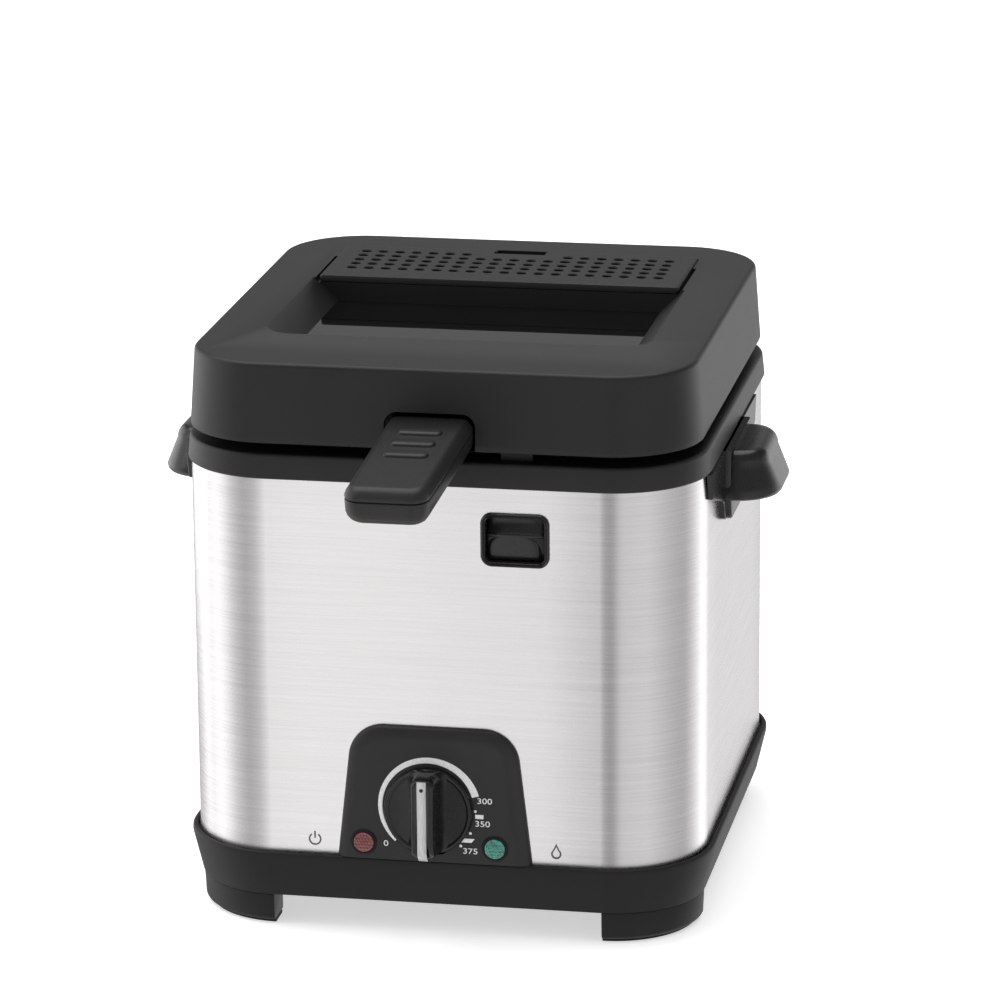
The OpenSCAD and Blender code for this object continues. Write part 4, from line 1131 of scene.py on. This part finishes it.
# The first thumb bar is the handle's highest point
root_top = handle_high.z - BAR_H * math.cos(TILT) + BAR_START * math.sin(TILT)
handle_base = Matrix.Translation((0, ROOT_Y + ROOT_IN, root_top)) @ Matrix.Rotation(TILT, 4, "X")
HANDLE_L = (ROOT_Y + ROOT_IN - handle_low.y) / math.cos(TILT) - 0.4 * MM


def handle_loop(inset, z):
    """A loop round the handle in its own axes, a little narrower towards the tip."""
    loop = rim(HANDLE_HALF - inset, -HANDLE_L + inset, -inset * 0.3, z, max(7 * MM - inset * 0.7, 2 * MM),
               2 * MM, turn=10, straight=6)
    return [handle_base @ Vector((p.x * (1 + TAPER * p.y / HANDLE_L), p.y, p.z)) for p in loop]


# Rows up each half, as (drawn in, height from the top face) in mm
upper = [(0.7, -5.0), (0.12, -4.65), (0.0, -4.2), (0.15, -3.5), (0.7, -2.3), (1.5, -1.25), (2.3, -0.5),
         (3.1, -0.12), (4.0, 0.0), (4.8, 0.0)]
lower = [(5.6, -14.0), (4.6, -14.0), (3.4, -13.75), (2.0, -12.9), (0.9, -11.5), (0.3, -9.8), (0.05, -6.0),
         (0.15, -5.35), (0.7, -5.0)]
HANDLE_CHARCOAL = moulded_charcoal("satin_charcoal_phenolic", "#222122", "#282627", 0.5, 0.4)
top_half = loft("handle_upper_half", [handle_loop(i * MM, z * MM) for i, z in upper])
low_half = loft("handle_lower_half", [handle_loop(i * MM, z * MM) for i, z in lower])
strap_low, strap_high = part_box("basket_strap")
carve(low_half, from_mesh("strap_slot", block(
    (strap_low.x - 0.2 * MM, ROOT_Y + 2 * MM, strap_high.z - 2.3 * MM),
    (strap_high.x + 0.2 * MM, ROOT_Y + 20 * MM, strap_high.z + 0.2 * MM))))
for number in range(3):
    start = -BAR_START - 13 * MM * number
    bar_loops = []
    for inset, z in [(0.0, -0.4), (0.0, 0.15), (0.35, 0.7), (0.9, 1.05), (1.6, 1.15)]:
        flat = rim((8.5 - inset) * MM, start - (6 - inset) * MM, start - inset * MM, z * MM,
                   (2.4 - inset) * MM, turn=6, straight=2)
        bar_loops.append([handle_base @ p for p in flat])
    bar = loft("handle_thumb_bar_%d" % (number + 1), bar_loops, angle=40)
    finish_piece(bar, HANDLE_CHARCOAL, "basket", "charcoal_plastic")
finish_piece(top_half, HANDLE_CHARCOAL, "basket", "charcoal_plastic", "handle_upper")
finish_piece(low_half, HANDLE_CHARCOAL, "basket", "charcoal_plastic", "handle_lower")

# ---- Floor, light and camera -----------------------------------------------------------------
# A white floor that reads as the sweep of a studio table, soft light from above and from the left,
# and a room whose pale and dark flats give the steel its upright bands.
floor = from_mesh("floor", block((-6, -6, -0.02), (6, 9, 0.0)))
paper = patterned("white_studio_paper", 4 * MM, 2.0, [(0.3, "#f9f9f9"), (0.7, "#fdfdfd")], Roughness=0.9,
                  Emission_Strength=0.55, Emission_Color=linear("#ffffff"))
floor.data.materials.append(paper)
# The walls of the room, and not the paper, are what the steel mirrors
floor.visible_glossy = False

world = bpy.data.worlds.new("studio_room")
bpy.context.scene.world = world
world.use_nodes = True
tree = world.node_tree
look = add(tree, "ShaderNodeTexCoord").outputs["Generated"]
part = add(tree, "ShaderNodeSeparateXYZ", {"Vector": look})
bearing = add(tree, "ShaderNodeMath", {0: part.outputs["X"], 1: part.outputs["Y"]}, operation="ARCTAN2")
turn = add(tree, "ShaderNodeMapRange", {"Value": bearing.outputs[0], "From Min": -math.pi,
                                        "From Max": math.pi})


def walls(flats):
    """Brightness round the room: a ramp through (bearing in degrees from +Y towards +X, light)."""
    made = add(tree, "ShaderNodeValToRGB", {"Fac": turn.outputs[0]})
    elements = made.color_ramp.elements
    while len(elements) < len(flats):
        elements.new(0.5)
    for element, (degrees, light) in zip(elements, flats):
        element.position = (degrees + 180) / 360
        element.color = (light, light, light, 1)
    return made.outputs["Color"]


# Level with the steel the walls are pale and dark flats. Higher up they are plainer and darker,
# for the lid and the glass.
lower = walls([(-180, 0.36), (-175, 0.44), (-172, 0.66), (-170.5, 1.05), (-169.5, 1.3), (-166, 1.26),
               (-162, 0.98), (-155, 0.66), (-138, 0.48), (-120, 0.72), (-107, 1.1), (-95, 1.4), (-80, 1.2),
               (-64, 1.0), (-52, 0.6), (-26, 0.4), (-11, 0.75), (4, 0.6), (11, 0.82), (20, 1.1), (36, 1.5),
               (60, 0.8), (76, 0.5), (95, 0.58), (130, 0.8), (165, 0.74), (173, 0.4), (180, 0.36)])
upper = walls([(-180, 0.4), (-120, 0.4), (-100, 0.95), (-70, 0.95), (-50, 0.1), (-25, 0.1), (-20, 0.22),
               (25, 0.22), (30, 0.1), (90, 0.3), (180, 0.4)])
rise = add(tree, "ShaderNodeMapRange", {"Value": part.outputs["Z"], "From Min": 0.05, "From Max": 0.3})
room = tree.nodes.new("ShaderNodeMixRGB")
for socket, source in zip(room.inputs, (rise.outputs[0], lower, upper)):
    tree.links.new(source, socket)
ground = add(tree, "ShaderNodeBackground", {"Color": room.outputs[0], "Strength": 1.0})
tree.links.new(ground.outputs[0], tree.nodes["World Output"].inputs["Surface"])


def soft_box(name, place, aim, size, power):
    """A rectangular soft box at a place, turned to face a point."""
    light = bpy.data.lights.new(name, "AREA")
    light.shape, light.size, light.size_y, light.energy = "RECTANGLE", size[0], size[1], power
    made = bpy.data.objects.new(name, light)
    made.location = place
    made.rotation_euler = (Vector(aim) - Vector(place)).to_track_quat("-Z", "Y").to_euler()
    bpy.context.scene.collection.objects.link(made)


sun = bpy.data.objects.new("broad_top_light", bpy.data.lights.new("broad_top_light", "SUN"))
sun.data.energy, sun.data.angle = 2.0, math.radians(70)
sun.rotation_euler = (math.radians(-12), math.radians(-8), 0)
bpy.context.scene.collection.objects.link(sun)
soft_box("left_box", (-1.5, -0.6, 0.8), (0, MID_Y, 0.12), (0.5, 1.2), 2)
soft_box("left_rim_box", (-1.6, 1.0, 0.3), (0, MID_Y, 0.2), (1.5, 1.5), 7)

# A long lens from in front, a little to the right and above
camera_data = bpy.data.cameras.new("camera")
camera_data.lens, camera_data.sensor_width = 186.165, 36
camera_data.clip_start, camera_data.clip_end = 0.05, 50
camera = bpy.data.objects.new("camera", camera_data)
aim = (Matrix.Rotation(math.radians(10.708), 4, "Z") @ Matrix.Rotation(math.radians(90 - 15.925), 4, "X")
       @ Matrix.Rotation(math.radians(-0.464), 4, "Z"))
camera.matrix_world = Matrix.Translation((0.37196, MID_Y - 1.93539, 0.70582)) @ aim
bpy.context.scene.collection.objects.link(camera)
bpy.context.scene.camera = camera
bpy.context.scene.view_settings.view_transform = "Standard"
